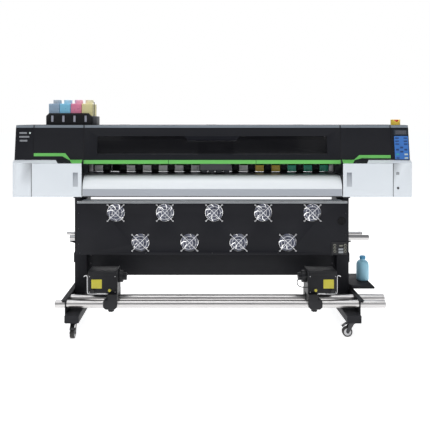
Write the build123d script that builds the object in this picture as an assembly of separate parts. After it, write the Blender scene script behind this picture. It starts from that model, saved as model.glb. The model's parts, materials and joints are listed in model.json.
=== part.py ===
from build123d import *
import math
import os

# A roll-fed printer-cutter on a wheeled stand, in millimetres.
# X runs left to right as the operator sees it, +Y to the back, +Z up.
# The origin is on the floor under the middle of the machine.

os.makedirs("parts", exist_ok=True)

# ---------------------------------------------------------------- driving sizes
HALF_WIDTH = 1290.0        # outer end of the side cabinets
INNER_EDGE = 843.0         # inner end of the side cabinets
CENTRE_HALF = 838.0        # half width of hood and platen
SEAM_X = 1168.0            # seam between door or cover and the end piece
END_CAP_X = 1289.0         # outer face of the black end caps
CABINET_FRONT = -210.0
CABINET_BACK = 300.0
CABINET_BOTTOM = 869.0
RECESS_DEPTH = 18.0         # finger scoop of a door, at its top
BEVEL_START = 1089.0       # top of the white front face
COVER_SPLIT = 1106.0       # white lower cover meets black upper cover
MACHINE_TOP = 1333.0
SHEET = 4.0                # wall of the moulded covers
FACE_Y = -180.0            # black front face at COVER_SPLIT
FACE_SLOPE = 30.0 / 202.0  # how far the face leans back per mm of height
TOP_RADIUS = 25.0

HOOD_BOTTOM = 1083.0
HOOD_HINGE_Y = 52.0
HOOD_HINGE_Z = 1331.0
WINDOW_HALF = 750.0
WINDOW_BOTTOM = 1144.0
WINDOW_TOP = 1261.0
WINDOW_GAP = 0.4

PLATEN_TOP = 1003.0
SKIRT_TOP = 918.0
PLATEN_RADIUS = 85.0
PLATEN_SHEET = 3.0

GRIT_Y = 30.0
GRIT_RADIUS = 12.5
GRIT_Z = 992.0
PINCH_COUNT = 14
PINCH_PITCH = 110.4
PINCH_RADIUS = 9.0
MEDIA_GAP = 0.4
PINCH_Z = GRIT_Z + GRIT_RADIUS + MEDIA_GAP + PINCH_RADIUS
LIFT_Y = 80.0
LIFT_Z = 1062.0
FIT = 0.06                 # radial running clearance

CARRIAGE_X = 25.0
CARRIAGE_WIDTH = 236.0
BEAM_HALF = 1150.0
BEAM_FRONT = 70.0
BEAM_BACK = 150.0
BEAM_BOTTOM = 1120.0
BEAM_TOP = 1230.0
RAIL_Z = 1170.0
BELT_Y = 35.0
BELT_Z = 1267.0
PULLEY_X = 1120.0
PULLEY_RADIUS = 12.0

LEG_X = 877.0
LEG_WIDTH = 80.0
LEG_FRONT = -76.0
LEG_BACK = 74.0
FOOT_WIDTH = 90.0
FOOT_BOTTOM = 104.0
FOOT_TOP = 153.0
FOOT_HALF = 350.0
TUBE_WALL = 3.0

FAN_PANEL_HALF = 882.0
FAN_PANEL_FRONT = -182.0
FAN_PANEL_BACK = -78.0
FAN_PANEL_BOTTOM = 490.0
FAN_PANEL_TOP = 836.0
FAN_SIZE = 120.0
FAN_DEPTH = 25.0
FAN_HOLE = 59.0            # radius of the air opening
FAN_HUB = 20.0
FAN_BLADES = 7
GUARD_CORNER = 52.5        # guard screw, measured along X and Z from the fan axis
UPPER_FANS = [(x, 762.0) for x in (-628.0, -308.0, 12.0, 332.0, 652.0)]
LOWER_FANS = [(x, 568.0) for x in (-468.0, -148.0, 172.0, 492.0)]

RAIL_RADIUS = 24.0
RAIL_HEIGHT = 202.0
FRONT_RAIL_Y = -277.0
BACK_RAIL_Y = -160.0
CHUCK_Y = -215.0
CHUCK_Z = 361.0
CORE_RADIUS = 38.0
SMALL_CORE_RADIUS = 25.0

FEED_Y = 270.0
FEED_Z = 507.0
FEED_RADIUS = 20.0
FEED_END_RADIUS = 19.5
FEED_END_X = 935.0
GUIDE_Y = 320.0
GUIDE_Z = 528.0
GUIDE_RADIUS = 12.5

CASTER_Y = 285.0
WHEEL_RADIUS = 31.5
WHEEL_WIDTH = 28.0
CASTER_TRAIL = 28.0
AXLE_RADIUS = 4.0

TRAY_X = -987.5
TANK_PITCH = 77.0
TANK_HALF = 38.0
TRAY_HALF = 158.0
TRAY_FRONT = 60.0
TRAY_BACK = 290.0

ESTOP_X = 1234.0
ESTOP_Y = -60.0

CORD_RADIUS = 2.75


# ---------------------------------------------------------------- small helpers
def block(x0, x1, y0, y1, z0, z1):
    """A box between two corners, given in either order."""
    centre = ((x0 + x1) / 2, (y0 + y1) / 2, (z0 + z1) / 2)
    return Pos(*centre) * Box(abs(x1 - x0), abs(y1 - y0), abs(z1 - z0))


def rod_x(x0, x1, y, z, radius):
    return Pos((x0 + x1) / 2, y, z) * Rot(0, 90, 0) * Cylinder(radius, abs(x1 - x0))


def rod_y(x, y0, y1, z, radius):
    return Pos(x, (y0 + y1) / 2, z) * Rot(90, 0, 0) * Cylinder(radius, abs(y1 - y0))


def rod_z(x, y, z0, z1, radius):
    return Pos(x, y, (z0 + z1) / 2) * Cylinder(radius, abs(z1 - z0))


def prism_x(points, x0, x1):
    """A side profile, as (y, z) points, run from x0 to x1."""
    face = make_face(Plane.YZ.offset(min(x0, x1)) * Polyline(*points, close=True))
    return extrude(face, amount=abs(x1 - x0), dir=(1, 0, 0))


def prism_y(points, y0, y1):
    """A front outline, as (x, z) points, run from y0 back to y1."""
    face = make_face(Plane.XZ.offset(-y0) * Polyline(*points, close=True))
    return extrude(face, amount=y1 - y0, dir=(0, 1, 0))


def round_along_x(solid, radius, y, z):
    """Round the long edge that runs along X nearest to (y, z)."""
    edges = solid.edges().filter_by(Axis.X)
    edge = min(edges, key=lambda e: math.hypot(e.center().Y - y, e.center().Z - z))
    return fillet(edge, radius)


def face_y(z):
    """Y of the leaning black front face at height z."""
    return FACE_Y + (z - COVER_SPLIT) * FACE_SLOPE


def mirrored(solid):
    return mirror(solid, about=Plane.YZ)


def group(solids):
    return Compound(children=[s if isinstance(s, Solid) else s.solids()[0] for s in solids])


def save(shape, node):
    export_step(shape, f"parts/{node}.step")


# ---------------------------------------------------------------- the stand
def leg():
    """A rectangular tube with a wider head block that carries the machine."""
    x0 = LEG_X - LEG_WIDTH / 2
    x1 = LEG_X + LEG_WIDTH / 2
    head = 24.0
    outer = block(x0, x1, LEG_FRONT, LEG_BACK, FOOT_TOP, CABINET_BOTTOM)
    outer += block(x0 - 8, x1 + 8, LEG_FRONT - 6, LEG_BACK + 6, CABINET_BOTTOM - head, CABINET_BOTTOM)
    hollow = block(x0 + TUBE_WALL, x1 - TUBE_WALL, LEG_FRONT + TUBE_WALL, LEG_BACK - TUBE_WALL,
                   FOOT_TOP - 1, CABINET_BOTTOM - head)
    return outer - hollow


def foot():
    """A rectangular tube laid front to back, closed at its ends by plugs."""
    x0 = LEG_X - FOOT_WIDTH / 2
    x1 = LEG_X + FOOT_WIDTH / 2
    tube = block(x0, x1, -FOOT_HALF, FOOT_HALF, FOOT_BOTTOM, FOOT_TOP)
    tube = fillet(tube.edges().filter_by(Axis.Y), 5)
    return tube - block(x0 + TUBE_WALL, x1 - TUBE_WALL, -FOOT_HALF - 1, FOOT_HALF + 1,
                        FOOT_BOTTOM + TUBE_WALL, FOOT_TOP - TUBE_WALL)


def foot_plug(end):
    """Moulded plug that closes one end of a foot."""
    x0 = LEG_X - FOOT_WIDTH / 2 + TUBE_WALL
    x1 = LEG_X + FOOT_WIDTH / 2 - TUBE_WALL
    faces = sorted((end * FOOT_HALF, end * (FOOT_HALF - 15)))
    return block(x0, x1, faces[0], faces[1], FOOT_BOTTOM + TUBE_WALL, FOOT_TOP - TUBE_WALL)


def caster_plate(y):
    """Square plate screwed under the foot, bored for the caster's kingpin."""
    half = 30.0
    plate = block(LEG_X - half, LEG_X + half, y - half, y + half, FOOT_BOTTOM - 4, FOOT_BOTTOM)
    return plate - rod_z(LEG_X, y, FOOT_BOTTOM - 5, FOOT_BOTTOM + 1, 6 + FIT)


def cross_beam():
    half = LEG_X - LEG_WIDTH / 2
    beam = block(-half, half, -40, 40, 318, 478)
    return beam - block(-half - 1, half + 1, -37, 37, 321, 475)


def rail_bracket():
    """Folded plate bolted to the outside of a foot, with two seats for the take-up rails."""
    wall_x = LEG_X + FOOT_WIDTH / 2
    wall = prism_x([(-304, 128), (-304, 232), (90, 232), (90, 128), (-100, 116), (-240, 116)],
                   wall_x, wall_x + 8)
    bracket = wall + block(wall_x, wall_x + 31, -304, 90, 228, 232)
    for y in (FRONT_RAIL_Y, BACK_RAIL_Y):
        bracket -= rod_x(wall_x - 1, wall_x + 9, y, RAIL_HEIGHT, RAIL_RADIUS)
    return bracket


def feed_bracket():
    """Arm on the outside of a leg that carries the rear feed shaft and the guide tube."""
    x0 = LEG_X + LEG_WIDTH / 2
    x1 = x0 + 10
    arm = prism_x([(-60, 410), (-60, 470), (230, 545), (345, 560), (345, 505), (262, 470), (150, 430)],
                  x0, x1)
    arm -= rod_x(x0 - 1, x1 + 1, FEED_Y, FEED_Z, FEED_RADIUS + FIT)
    arm -= rod_x(x0 - 1, x1 + 1, GUIDE_Y, GUIDE_Z, GUIDE_RADIUS)
    return arm


def bottle_shelf():
    """Shallow shelf cantilevered from the right leg."""
    shelf = block(LEG_X + LEG_WIDTH / 2, 1074, -70, 197, 252, 265)
    shelf += block(930, 1074, -126, -70, 252, 265)
    return shelf


def take_up_rails():
    front = rod_x(-995, 1090, FRONT_RAIL_Y, RAIL_HEIGHT, RAIL_RADIUS)
    back = rod_x(-930, 1122, BACK_RAIL_Y, RAIL_HEIGHT, RAIL_RADIUS)
    bore = 20.5
    front -= rod_x(-996, 1091, FRONT_RAIL_Y, RAIL_HEIGHT, bore)
    back -= rod_x(-931, 1123, BACK_RAIL_Y, RAIL_HEIGHT, bore)
    return [front, back]


def guide_tube():
    tube = rod_x(-1060, 1122, GUIDE_Y, GUIDE_Z, GUIDE_RADIUS)
    return tube - rod_x(-1061, 1123, GUIDE_Y, GUIDE_Z, GUIDE_RADIUS - 2)


def feed_shaft():
    """Tube that carries the supply roll; its free right end is turned down to take a core flange."""
    shaft = rod_x(-1027, FEED_END_X, FEED_Y, FEED_Z, FEED_RADIUS)
    shaft += rod_x(FEED_END_X, 1155, FEED_Y, FEED_Z, FEED_END_RADIUS)
    return shaft - rod_x(-1028, 1156, FEED_Y, FEED_Z, FEED_RADIUS - 4)


# ---------------------------------------------------------------- casters
def caster_fork(x, y, heading):
    """Swivelling fork with its kingpin and axle. Heading is where the wheel trails, in degrees."""
    cheek_in = WHEEL_WIDTH / 2 + 1
    cheek_out = cheek_in + 3
    fork = rod_z(0, 0, 84, FOOT_BOTTOM - 4.4, 24)
    fork += rod_z(0, 0, 84, FOOT_BOTTOM - 0.5, 6)
    side = [(-16, 90), (16, 90), (CASTER_TRAIL + 9, WHEEL_RADIUS + 4), (CASTER_TRAIL + 5, WHEEL_RADIUS - 8),
            (CASTER_TRAIL - 7, WHEEL_RADIUS - 8)]
    for x0, x1 in ((-cheek_out, -cheek_in), (cheek_in, cheek_out)):
        fork += prism_x(side, x0, x1)
    fork += block(-cheek_out, cheek_out, -14, 20, 84, 88)
    fork += rod_x(-cheek_out - 3, cheek_out + 3, CASTER_TRAIL, WHEEL_RADIUS, AXLE_RADIUS)
    fork += brake_pedal(cheek_in)
    return Pos(x, y, 0) * Rot(0, 0, heading) * fork


def brake_pedal(cheek_in):
    """Tread plate of the wheel brake, above and ahead of the wheel."""
    tread = [(20, 84), (20, 88), (38, 84), (62, 66), (60, 63), (37, 80)]
    return prism_x(tread, -cheek_in + 1, cheek_in - 1)


def caster_wheel(x, y, heading):
    half = WHEEL_WIDTH / 2
    wheel = rod_x(-half, half, CASTER_TRAIL, WHEEL_RADIUS, WHEEL_RADIUS)
    wheel = fillet(wheel.edges().filter_by(GeomType.CIRCLE), 4)
    wheel -= rod_x(-half - 1, half + 1, CASTER_TRAIL, WHEEL_RADIUS, AXLE_RADIUS + FIT)
    for x0, x1 in ((-half - 1, -half + 3), (half - 3, half + 1)):
        web = rod_x(x0, x1, CASTER_TRAIL, WHEEL_RADIUS, 21) - rod_x(x0, x1, CASTER_TRAIL, WHEEL_RADIUS, 9)
        wheel -= web
    return Pos(x, y, 0) * Rot(0, 0, heading) * wheel


# ---------------------------------------------------------------- drying fans
def fan_panel():
    """Folded sheet-metal box, open at the back, with an air hole for each fan."""
    wall = 2.0
    panel = block(-FAN_PANEL_HALF, FAN_PANEL_HALF, FAN_PANEL_FRONT, FAN_PANEL_BACK,
                  FAN_PANEL_BOTTOM, FAN_PANEL_TOP)
    panel -= block(-FAN_PANEL_HALF + wall, FAN_PANEL_HALF - wall, FAN_PANEL_FRONT + wall,
                   FAN_PANEL_BACK + 1, FAN_PANEL_BOTTOM + wall, FAN_PANEL_TOP - wall)
    for x, z in UPPER_FANS + LOWER_FANS:
        panel -= rod_y(x, FAN_PANEL_FRONT - 1, FAN_PANEL_FRONT + wall + 1, z, FAN_HOLE)
    return panel


def fan_housing(x, z):
    """Square fan frame with a motor seat on three rear struts."""
    y0 = FAN_PANEL_FRONT + 2
    y1 = y0 + FAN_DEPTH
    half = FAN_SIZE / 2
    frame = block(x - half, x + half, y0, y1, z - half, z + half)
    frame = fillet(frame.edges().filter_by(Axis.Y), 6)
    frame -= rod_y(x, y0 - 1, y1 + 1, z, FAN_HOLE - 1)
    seat = rod_y(x, y1 - 4, y1, z, FAN_HUB)
    for turn in (90, 210, 330):
        c = math.cos(math.radians(turn))
        s = math.sin(math.radians(turn))
        strut = Box(FAN_HOLE - FAN_HUB + 4, 4, 5)
        mid = (FAN_HOLE + FAN_HUB) / 2
        seat += Pos(x + mid * c, y1 - 2, z + mid * s) * Rot(0, -turn, 0) * strut
    frame += seat
    return frame - rod_y(x, y1 - 5, y1 + 1, z, 3 + FIT)


def fan_guard(x, z):
    """Crossed wires and two rings in front of the air hole, ending in four screw eyes."""
    y = FAN_PANEL_FRONT - 2.2
    wire = 1.8
    guard = None
    reach = GUARD_CORNER * math.sqrt(2)
    for turn in (45, 135):
        bar = Pos(x, y, z) * Rot(0, turn, 0) * Rot(0, 90, 0) * Cylinder(wire, 2 * reach)
        guard = bar if guard is None else guard + bar
    for radius in (22.0, 42.0):
        guard += Pos(x, y, z) * Rot(90, 0, 0) * Torus(radius, 1.2)
    for sx in (-1, 1):
        for sz in (-1, 1):
            guard += rod_y(x + sx * GUARD_CORNER, y - 1.6, FAN_PANEL_FRONT, z + sz * GUARD_CORNER, 5)
    return guard


def fan_rotor(x, z):
    """Hub with tilted blades and a short spindle."""
    y0 = FAN_PANEL_FRONT + 5
    y1 = FAN_PANEL_FRONT + 2 + FAN_DEPTH - 5
    rotor = rod_y(x, y0, y1, z, FAN_HUB)
    rotor += rod_y(x, y1 - 1, y1 + 4.5, z, 3)
    blade_reach = FAN_HOLE - 3
    middle = (y0 + y1) / 2
    for k in range(FAN_BLADES):
        turn = 360.0 * k / FAN_BLADES + 90
        c = math.cos(math.radians(turn))
        s = math.sin(math.radians(turn))
        length = blade_reach - FAN_HUB + 4
        mid = (blade_reach + FAN_HUB - 4) / 2
        blade = Box(length, 2, 24)
        blade = Rot(40, 0, 0) * blade
        rotor += Pos(x + mid * c, middle, z + mid * s) * Rot(0, -turn, 0) * blade
    limit = rod_y(x, y0 - 0.5, y1 + 0.4, z, blade_reach) + rod_y(x, y1 - 1, y1 + 4.5, z, 3)
    return rotor & limit


def socket_panel():
    """Small outlet plate in the lower right corner: six round sockets and a rocker."""
    front = FAN_PANEL_FRONT - 4
    plate = block(776, 875, front, FAN_PANEL_FRONT, 492, 573)
    solids = [plate]
    for x in (795, 863):
        for z in (553, 534, 514):
            solids.append(rod_y(x, front - 6, front, z, 8))
    solids.append(block(822, 849, front - 5, front, 545, 557))
    return solids


# ---------------------------------------------------------------- take-up
def take_up_unit():
    """Right-hand motor box on two rail saddles, with a side plate that bears the chuck."""
    x_in = 601.0
    x_out = 787.0
    box = block(x_in + 8, x_out, -280, -150, 268, 408)
    box = fillet(box.edges().filter_by(Axis.X), 6)
    plate = prism_x([(-292, 255), (-292, 385), (-262, 415), (-168, 415), (-140, 385), (-140, 255)],
                    x_in, x_in + 8)
    unit = box + plate
    saddle_out = x_in + 88
    clamp = [(x_in, 190), (x_in + 16, 176), (saddle_out - 16, 176), (saddle_out, 190), (saddle_out, 226),
             (saddle_out - 12, 236), (x_in + 60, 236), (x_in + 60, 269), (x_in, 269)]
    unit += prism_y(clamp, -312, -242)
    unit += block(x_in, saddle_out, -190, -130, 190, 269)
    for y in (FRONT_RAIL_Y, BACK_RAIL_Y):
        unit -= rod_x(x_in - 1, saddle_out + 1, y, RAIL_HEIGHT, RAIL_RADIUS + 0.3)
    unit -= block(x_in - 1, saddle_out + 1, BACK_RAIL_Y - RAIL_RADIUS - 0.3,
                  BACK_RAIL_Y + RAIL_RADIUS + 0.3, 189, RAIL_HEIGHT)
    unit -= rod_x(x_in - 1, x_in + 30, CHUCK_Y, CHUCK_Z, 10 + FIT)
    unit -= rod_z(x_in + 42, FRONT_RAIL_Y, 170, 178.5, 3 + FIT)
    return unit


def take_up_chuck():
    """Stepped core chuck: a 3 inch seat, a smaller seat in front and a drive stub behind."""
    x_in = 601.0
    chuck = rod_x(x_in - 4, x_in + 24, CHUCK_Y, CHUCK_Z, 10)
    chuck += rod_x(x_in - 27, x_in - 0.5, CHUCK_Y, CHUCK_Z, CORE_RADIUS)
    chuck += rod_x(x_in - 50, x_in - 27, CHUCK_Y, CHUCK_Z, SMALL_CORE_RADIUS)
    return chuck


def clamp_knob():
    """Six-lobed screw knob under the front saddle."""
    x = 643.0
    knob = rod_z(x, FRONT_RAIL_Y, 156, 175.6, 15)
    for k in range(6):
        a = math.radians(60 * k)
        knob += rod_z(x + 14 * math.cos(a), FRONT_RAIL_Y + 14 * math.sin(a), 156, 172, 5)
    return knob + rod_z(x, FRONT_RAIL_Y, 174, 177.4, 3)


CABLE_ROUTE = [
    (601, -277, 372),
    (583, -277, 372),
    (560, -278, 371),
    (539, -280, 359),
    (532, -281, 338),
    (541, -280, 318),
    (562, -278, 308),
    (583, -277, 307),
    (601, -277, 307),
]


def route_radii(points):
    """Largest arc at each corner that its two runs leave room for."""
    radii = []
    for before, corner, after in zip(points, points[1:], points[2:]):
        run_in = Vector(*corner) - Vector(*before)
        run_out = Vector(*after) - Vector(*corner)
        turn = math.radians(run_in.get_angle(run_out))
        shorter = min(run_in.length, run_out.length)
        radii.append(0.45 * shorter / math.tan(turn / 2))
    return radii


def take_up_cable():
    """Sensor lead that leaves the side plate, makes one loop and goes back in."""
    radii = route_radii(CABLE_ROUTE)
    print("cable radii", [round(r, 1) for r in radii])
    path = FilletPolyline(*CABLE_ROUTE, radius=radii)
    section = Plane(origin=CABLE_ROUTE[0], z_dir=(-1, 0, 0)) * Circle(CORD_RADIUS)
    cable = sweep(section, path=path)
    expected = math.pi * CORD_RADIUS ** 2 * path.length
    print("cable length", round(path.length, 1), "volume over section times length",
          round(cable.volume / expected, 4))
    return cable


# ---------------------------------------------------------------- side cabinets
def lower_cover():
    """Right-hand white cabinet: floor, end, back and a front end piece beside the door."""
    side = [(CABINET_FRONT, CABINET_BOTTOM), (CABINET_FRONT, BEVEL_START), (FACE_Y, COVER_SPLIT),
            (CABINET_BACK, COVER_SPLIT), (CABINET_BACK, CABINET_BOTTOM)]
    outer = prism_x(side, INNER_EDGE, HALF_WIDTH)
    outer = fillet(outer.edges().filter_by(Axis.Z).sort_by(Axis.X)[-2:], 8)
    hollow = [(CABINET_FRONT + SHEET, CABINET_BOTTOM + SHEET), (CABINET_FRONT + SHEET, BEVEL_START - 2),
              (FACE_Y + 2, COVER_SPLIT - SHEET), (FACE_Y + 12, COVER_SPLIT - SHEET),
              (FACE_Y + 12, COVER_SPLIT + 1), (CABINET_BACK - SHEET - 8, COVER_SPLIT + 1),
              (CABINET_BACK - SHEET, CABINET_BOTTOM + SHEET)]
    cover = outer - prism_x(hollow, INNER_EDGE - 1, HALF_WIDTH - SHEET)
    doorway = block(INNER_EDGE - 1, SEAM_X, CABINET_FRONT - 1, CABINET_FRONT + SHEET + 0.5,
                    CABINET_BOTTOM - 1, BEVEL_START - 1)
    return cover - doorway


def door():
    """Right-hand service door with a finger scoop, deepest at its top, near the free edge."""
    x0 = INNER_EDGE + 1
    x1 = SEAM_X - 2
    front = CABINET_FRONT
    panel = block(x0, x1, front, front + 3.5, CABINET_BOTTOM + 1, BEVEL_START - 2.5)
    cup = prism_x([(front + 3, 1030), (front + 21, 1030), (front + 21, 1024), (front + 3.4, 932), (front + 3, 932)],
                  864, 904)
    scoop = prism_x([(front - 1, 1027), (front + RECESS_DEPTH, 1027), (front, 936), (front - 1, 936)], 868, 900)
    return panel + cup - scoop


def cover_profile(z_bottom, y_back, inset, overshoot):
    """Side outline of a black cover, moved in by inset and open at the bottom by overshoot."""
    z_top = MACHINE_TOP - inset
    z_low = z_bottom - overshoot
    lean = inset * math.sqrt(1 + FACE_SLOPE ** 2)
    return [(face_y(z_low) + lean, z_low), (face_y(z_top) + lean, z_top), (y_back - inset, z_top),
            (y_back - inset, z_low)]


def upper_cover():
    """Black cover over the right cabinet, open below and at both ends."""
    x0 = INNER_EDGE - 2
    x1 = SEAM_X - 1
    outer = prism_x(cover_profile(COVER_SPLIT, 292, 0, 0), x0, x1)
    inner = prism_x(cover_profile(COVER_SPLIT, 292, SHEET, 5), x0 - 1, x1 + 1)
    outer = round_along_x(outer, TOP_RADIUS, face_y(MACHINE_TOP), MACHINE_TOP)
    outer = round_along_x(outer, TOP_RADIUS, 292, MACHINE_TOP)
    inner = round_along_x(inner, TOP_RADIUS - SHEET, face_y(MACHINE_TOP), MACHINE_TOP)
    inner = round_along_x(inner, TOP_RADIUS - SHEET, 292, MACHINE_TOP)
    return outer - inner


def end_cap():
    """Right-hand end of the black cover, with its outer wall."""
    x0 = SEAM_X
    outer = prism_x(cover_profile(COVER_SPLIT, 292, 0, 0), x0, END_CAP_X)
    outer = round_along_x(outer, TOP_RADIUS, face_y(MACHINE_TOP), MACHINE_TOP)
    outer = round_along_x(outer, TOP_RADIUS, 292, MACHINE_TOP)
    rim = outer.faces().sort_by(Axis.X)[-1].edges()
    rim = [e for e in rim if e.center().Z > COVER_SPLIT + 1]
    outer = fillet(rim, 8)
    inner = prism_x(cover_profile(COVER_SPLIT, 292, SHEET, 5), x0 - 1, END_CAP_X - SHEET)
    inner = round_along_x(inner, TOP_RADIUS - SHEET, face_y(MACHINE_TOP), MACHINE_TOP)
    inner = round_along_x(inner, TOP_RADIUS - SHEET, 292, MACHINE_TOP)
    return outer - inner


def rear_cover():
    """Fixed back half of the roof and the back wall above the media entry."""
    y0 = HOOD_HINGE_Y + 5
    outer = prism_x([(y0, MACHINE_TOP), (292, MACHINE_TOP), (292, 1090), (y0, 1090)],
                    -CENTRE_HALF, CENTRE_HALF)
    inner = prism_x([(y0 - 1, MACHINE_TOP - SHEET), (288, MACHINE_TOP - SHEET), (288, 1089), (y0 - 1, 1089)],
                    -CENTRE_HALF - 1, CENTRE_HALF + 1)
    outer = round_along_x(outer, TOP_RADIUS, 292, MACHINE_TOP)
    inner = round_along_x(inner, TOP_RADIUS - SHEET, 288, MACHINE_TOP - SHEET)
    return outer - inner


def side_frame():
    """Right-hand steel side plate that ties leg, platen, rollers and beam together."""
    x0 = INNER_EDGE + 3
    x1 = x0 + 10
    plate = prism_x([(-150, CABINET_BOTTOM + SHEET), (-150, PLATEN_TOP), (62, PLATEN_TOP), (62, BEAM_BOTTOM),
                     (200, BEAM_BOTTOM), (280, PLATEN_TOP), (280, CABINET_BOTTOM + SHEET)], x0, x1)
    plate -= rod_x(x0 - 1, x1 + 1, GRIT_Y, GRIT_Z, 6 + FIT)
    plate -= rod_x(x0 - 1, x1 + 1, LIFT_Y, LIFT_Z, 5 + FIT)
    return plate


# ---------------------------------------------------------------- media path
def front_platen():
    """Heated apron: a flat skirt that rolls back through a quarter curve to the print deck."""
    y_back = -70.0
    outer = prism_x([(CABINET_FRONT, CABINET_BOTTOM + 2), (CABINET_FRONT, PLATEN_TOP), (y_back, PLATEN_TOP),
                     (y_back, CABINET_BOTTOM + 2)], -CENTRE_HALF, CENTRE_HALF)
    outer = round_along_x(outer, PLATEN_RADIUS, CABINET_FRONT, PLATEN_TOP)
    t = PLATEN_SHEET
    inner = prism_x([(CABINET_FRONT + t, CABINET_BOTTOM + 2 + t), (CABINET_FRONT + t, PLATEN_TOP - t),
                     (y_back - t, PLATEN_TOP - t), (y_back - t, CABINET_BOTTOM + 2 + t)],
                    -CENTRE_HALF - 1, CENTRE_HALF + 1)
    inner = round_along_x(inner, PLATEN_RADIUS - t, CABINET_FRONT + t, PLATEN_TOP - t)
    return outer - inner


def print_platen():
    """Vacuum deck in front of the grit roller and the entry deck behind it."""
    deck = block(-CENTRE_HALF, CENTRE_HALF, -69.5, 12, 985, PLATEN_TOP)
    entry = prism_x([(48, 985), (48, PLATEN_TOP), (190, PLATEN_TOP), (240, 985), (262, 950), (258, 948),
                     (236, 980), (188, 985)], -CENTRE_HALF, CENTRE_HALF)
    return [deck, entry]


def grit_roller():
    roller = rod_x(-830, 830, GRIT_Y, GRIT_Z, 10)
    for k in range(PINCH_COUNT):
        x = pinch_x(k)
        roller += rod_x(x - 25, x + 25, GRIT_Y, GRIT_Z, GRIT_RADIUS)
    return roller + rod_x(-856, 856, GRIT_Y, GRIT_Z, 6)


def pinch_x(k):
    return (k - (PINCH_COUNT - 1) / 2) * PINCH_PITCH


def pinch_arm(x):
    """Bell-shaped arm: a rounded head, a waist and a forked foot for the roller."""
    head = block(x - 22, x + 22, 24, 96, 1046, 1079)
    head = fillet(head.edges().filter_by(Axis.Y).sort_by(Axis.Z)[-2:], 12)
    waist = block(x - 17, x + 17, 18, 60, 1026, 1047)
    arm = head + waist
    for x0, x1 in ((x - 24, x - 18), (x + 18, x + 24)):
        cheek = prism_x([(18, 1006), (18, 1034), (44, 1034), (44, 1006)], x0, x1)
        arm += cheek - rod_x(x0 - 1, x1 + 1, GRIT_Y, PINCH_Z, 2 + FIT)
    arm += block(x - 24, x + 24, 18, 46, 1027, 1034)
    return arm


def pinch_arms():
    """All the arms, clamped on one lift shaft that turns in the side frames."""
    shaft = rod_x(-856, 856, LIFT_Y, LIFT_Z, 5)
    return [shaft] + [pinch_arm(pinch_x(k)) - shaft for k in range(PINCH_COUNT)]


def pinch_roller(x):
    roller = rod_x(x - 17, x + 17, GRIT_Y, PINCH_Z, PINCH_RADIUS)
    return roller + rod_x(x - 23.5, x + 23.5, GRIT_Y, PINCH_Z, 2)


# ---------------------------------------------------------------- print head drive
def head_beam():
    """Hollow beam across the machine, its front guide rail and the idler bracket."""
    beam = block(-BEAM_HALF, BEAM_HALF, BEAM_FRONT, BEAM_BACK, BEAM_BOTTOM, BEAM_TOP)
    beam -= block(-BEAM_HALF - 1, BEAM_HALF + 1, BEAM_FRONT + 4, BEAM_BACK - 4, BEAM_BOTTOM + 4, BEAM_TOP - 4)
    rail = block(-BEAM_HALF + 10, BEAM_HALF - 10, BEAM_FRONT - 14, BEAM_FRONT, RAIL_Z - 10, RAIL_Z + 10)
    groove = block(-BEAM_HALF, BEAM_HALF, BEAM_FRONT - 9, BEAM_FRONT - 4, RAIL_Z + 6, RAIL_Z + 11)
    rail -= groove
    rail -= mirror(groove, about=Plane.XY.offset(RAIL_Z))
    lid = block(BEAM_HALF - 4, BEAM_HALF, BEAM_FRONT + 4, BEAM_BACK - 4, BEAM_BOTTOM + 4, BEAM_TOP - 4)
    return [beam, rail, drive_bracket(-PULLEY_X), lid, mirrored(lid)]


def drive_bracket(x):
    """Angle on top of the beam that reaches forward over the belt pulley."""
    base = block(x - 26, x + 26, 100, 150, BEAM_TOP, BELT_Z + 8)
    bracket = base + block(x - 26, x + 26, 8, 150, BELT_Z + 8, BELT_Z + 12)
    return bracket - rod_z(x, BELT_Y, BELT_Z + 7, BELT_Z + 13, 3 + FIT)


def drive_motor():
    body = block(PULLEY_X - 21, PULLEY_X + 21, BELT_Y - 21, BELT_Y + 21, BELT_Z + 12, MACHINE_TOP - SHEET - 4)
    body -= rod_z(PULLEY_X, BELT_Y, BELT_Z + 11, BELT_Z + 22, 3 + FIT)
    return [fillet(body.edges().filter_by(Axis.Z)[:4], 4), drive_bracket(PULLEY_X)]


def belt_pulley(x, shaft_top):
    pulley = rod_z(x, BELT_Y, BELT_Z - 6, BELT_Z + 6, PULLEY_RADIUS)
    pulley += rod_z(x, BELT_Y, BELT_Z - 8, BELT_Z - 6, PULLEY_RADIUS + 4)
    pulley += rod_z(x, BELT_Y, BELT_Z + 6, BELT_Z + 7, PULLEY_RADIUS + 4)
    return pulley + rod_z(x, BELT_Y, BELT_Z + 7, shaft_top, 3)


def drive_belt():
    inner = PULLEY_RADIUS + 0.4
    outer = inner + 1.6
    z0 = BELT_Z - 5
    z1 = BELT_Z + 5
    loop = block(-PULLEY_X, PULLEY_X, BELT_Y - outer, BELT_Y + outer, z0, z1)
    void = block(-PULLEY_X, PULLEY_X, BELT_Y - inner, BELT_Y + inner, z0 - 1, z1 + 1)
    for x in (-PULLEY_X, PULLEY_X):
        loop += rod_z(x, BELT_Y, z0, z1, outer)
        void += rod_z(x, BELT_Y, z0 - 1, z1 + 1, inner)
    return loop - void


def carriage():
    """Print carriage: upper housing, lower head block and a shoe that wraps the guide rail."""
    x0 = CARRIAGE_X - CARRIAGE_WIDTH / 2
    x1 = CARRIAGE_X + CARRIAGE_WIDTH / 2
    housing = block(x0, x1, -90, 48, 1098, 1250)
    housing = fillet(housing.edges().filter_by(Axis.X).sort_by(Axis.Y)[:2], 12)
    heads = block(x0 + 14, x1 - 14, -84, 4, 1030, 1099)
    for k in range(4):
        x = x0 + 43 + k * 50
        heads += block(x - 18, x + 18, -70, -8, 1012, 1031)
    shoe = block(x0 + 20, x1 - 20, 47, 69.5, RAIL_Z - 22, RAIL_Z + 22)
    shoe -= block(x0, x1, BEAM_FRONT - 14.3, 80, RAIL_Z - 10.3, RAIL_Z + 10.3)
    return housing + heads + shoe


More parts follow.
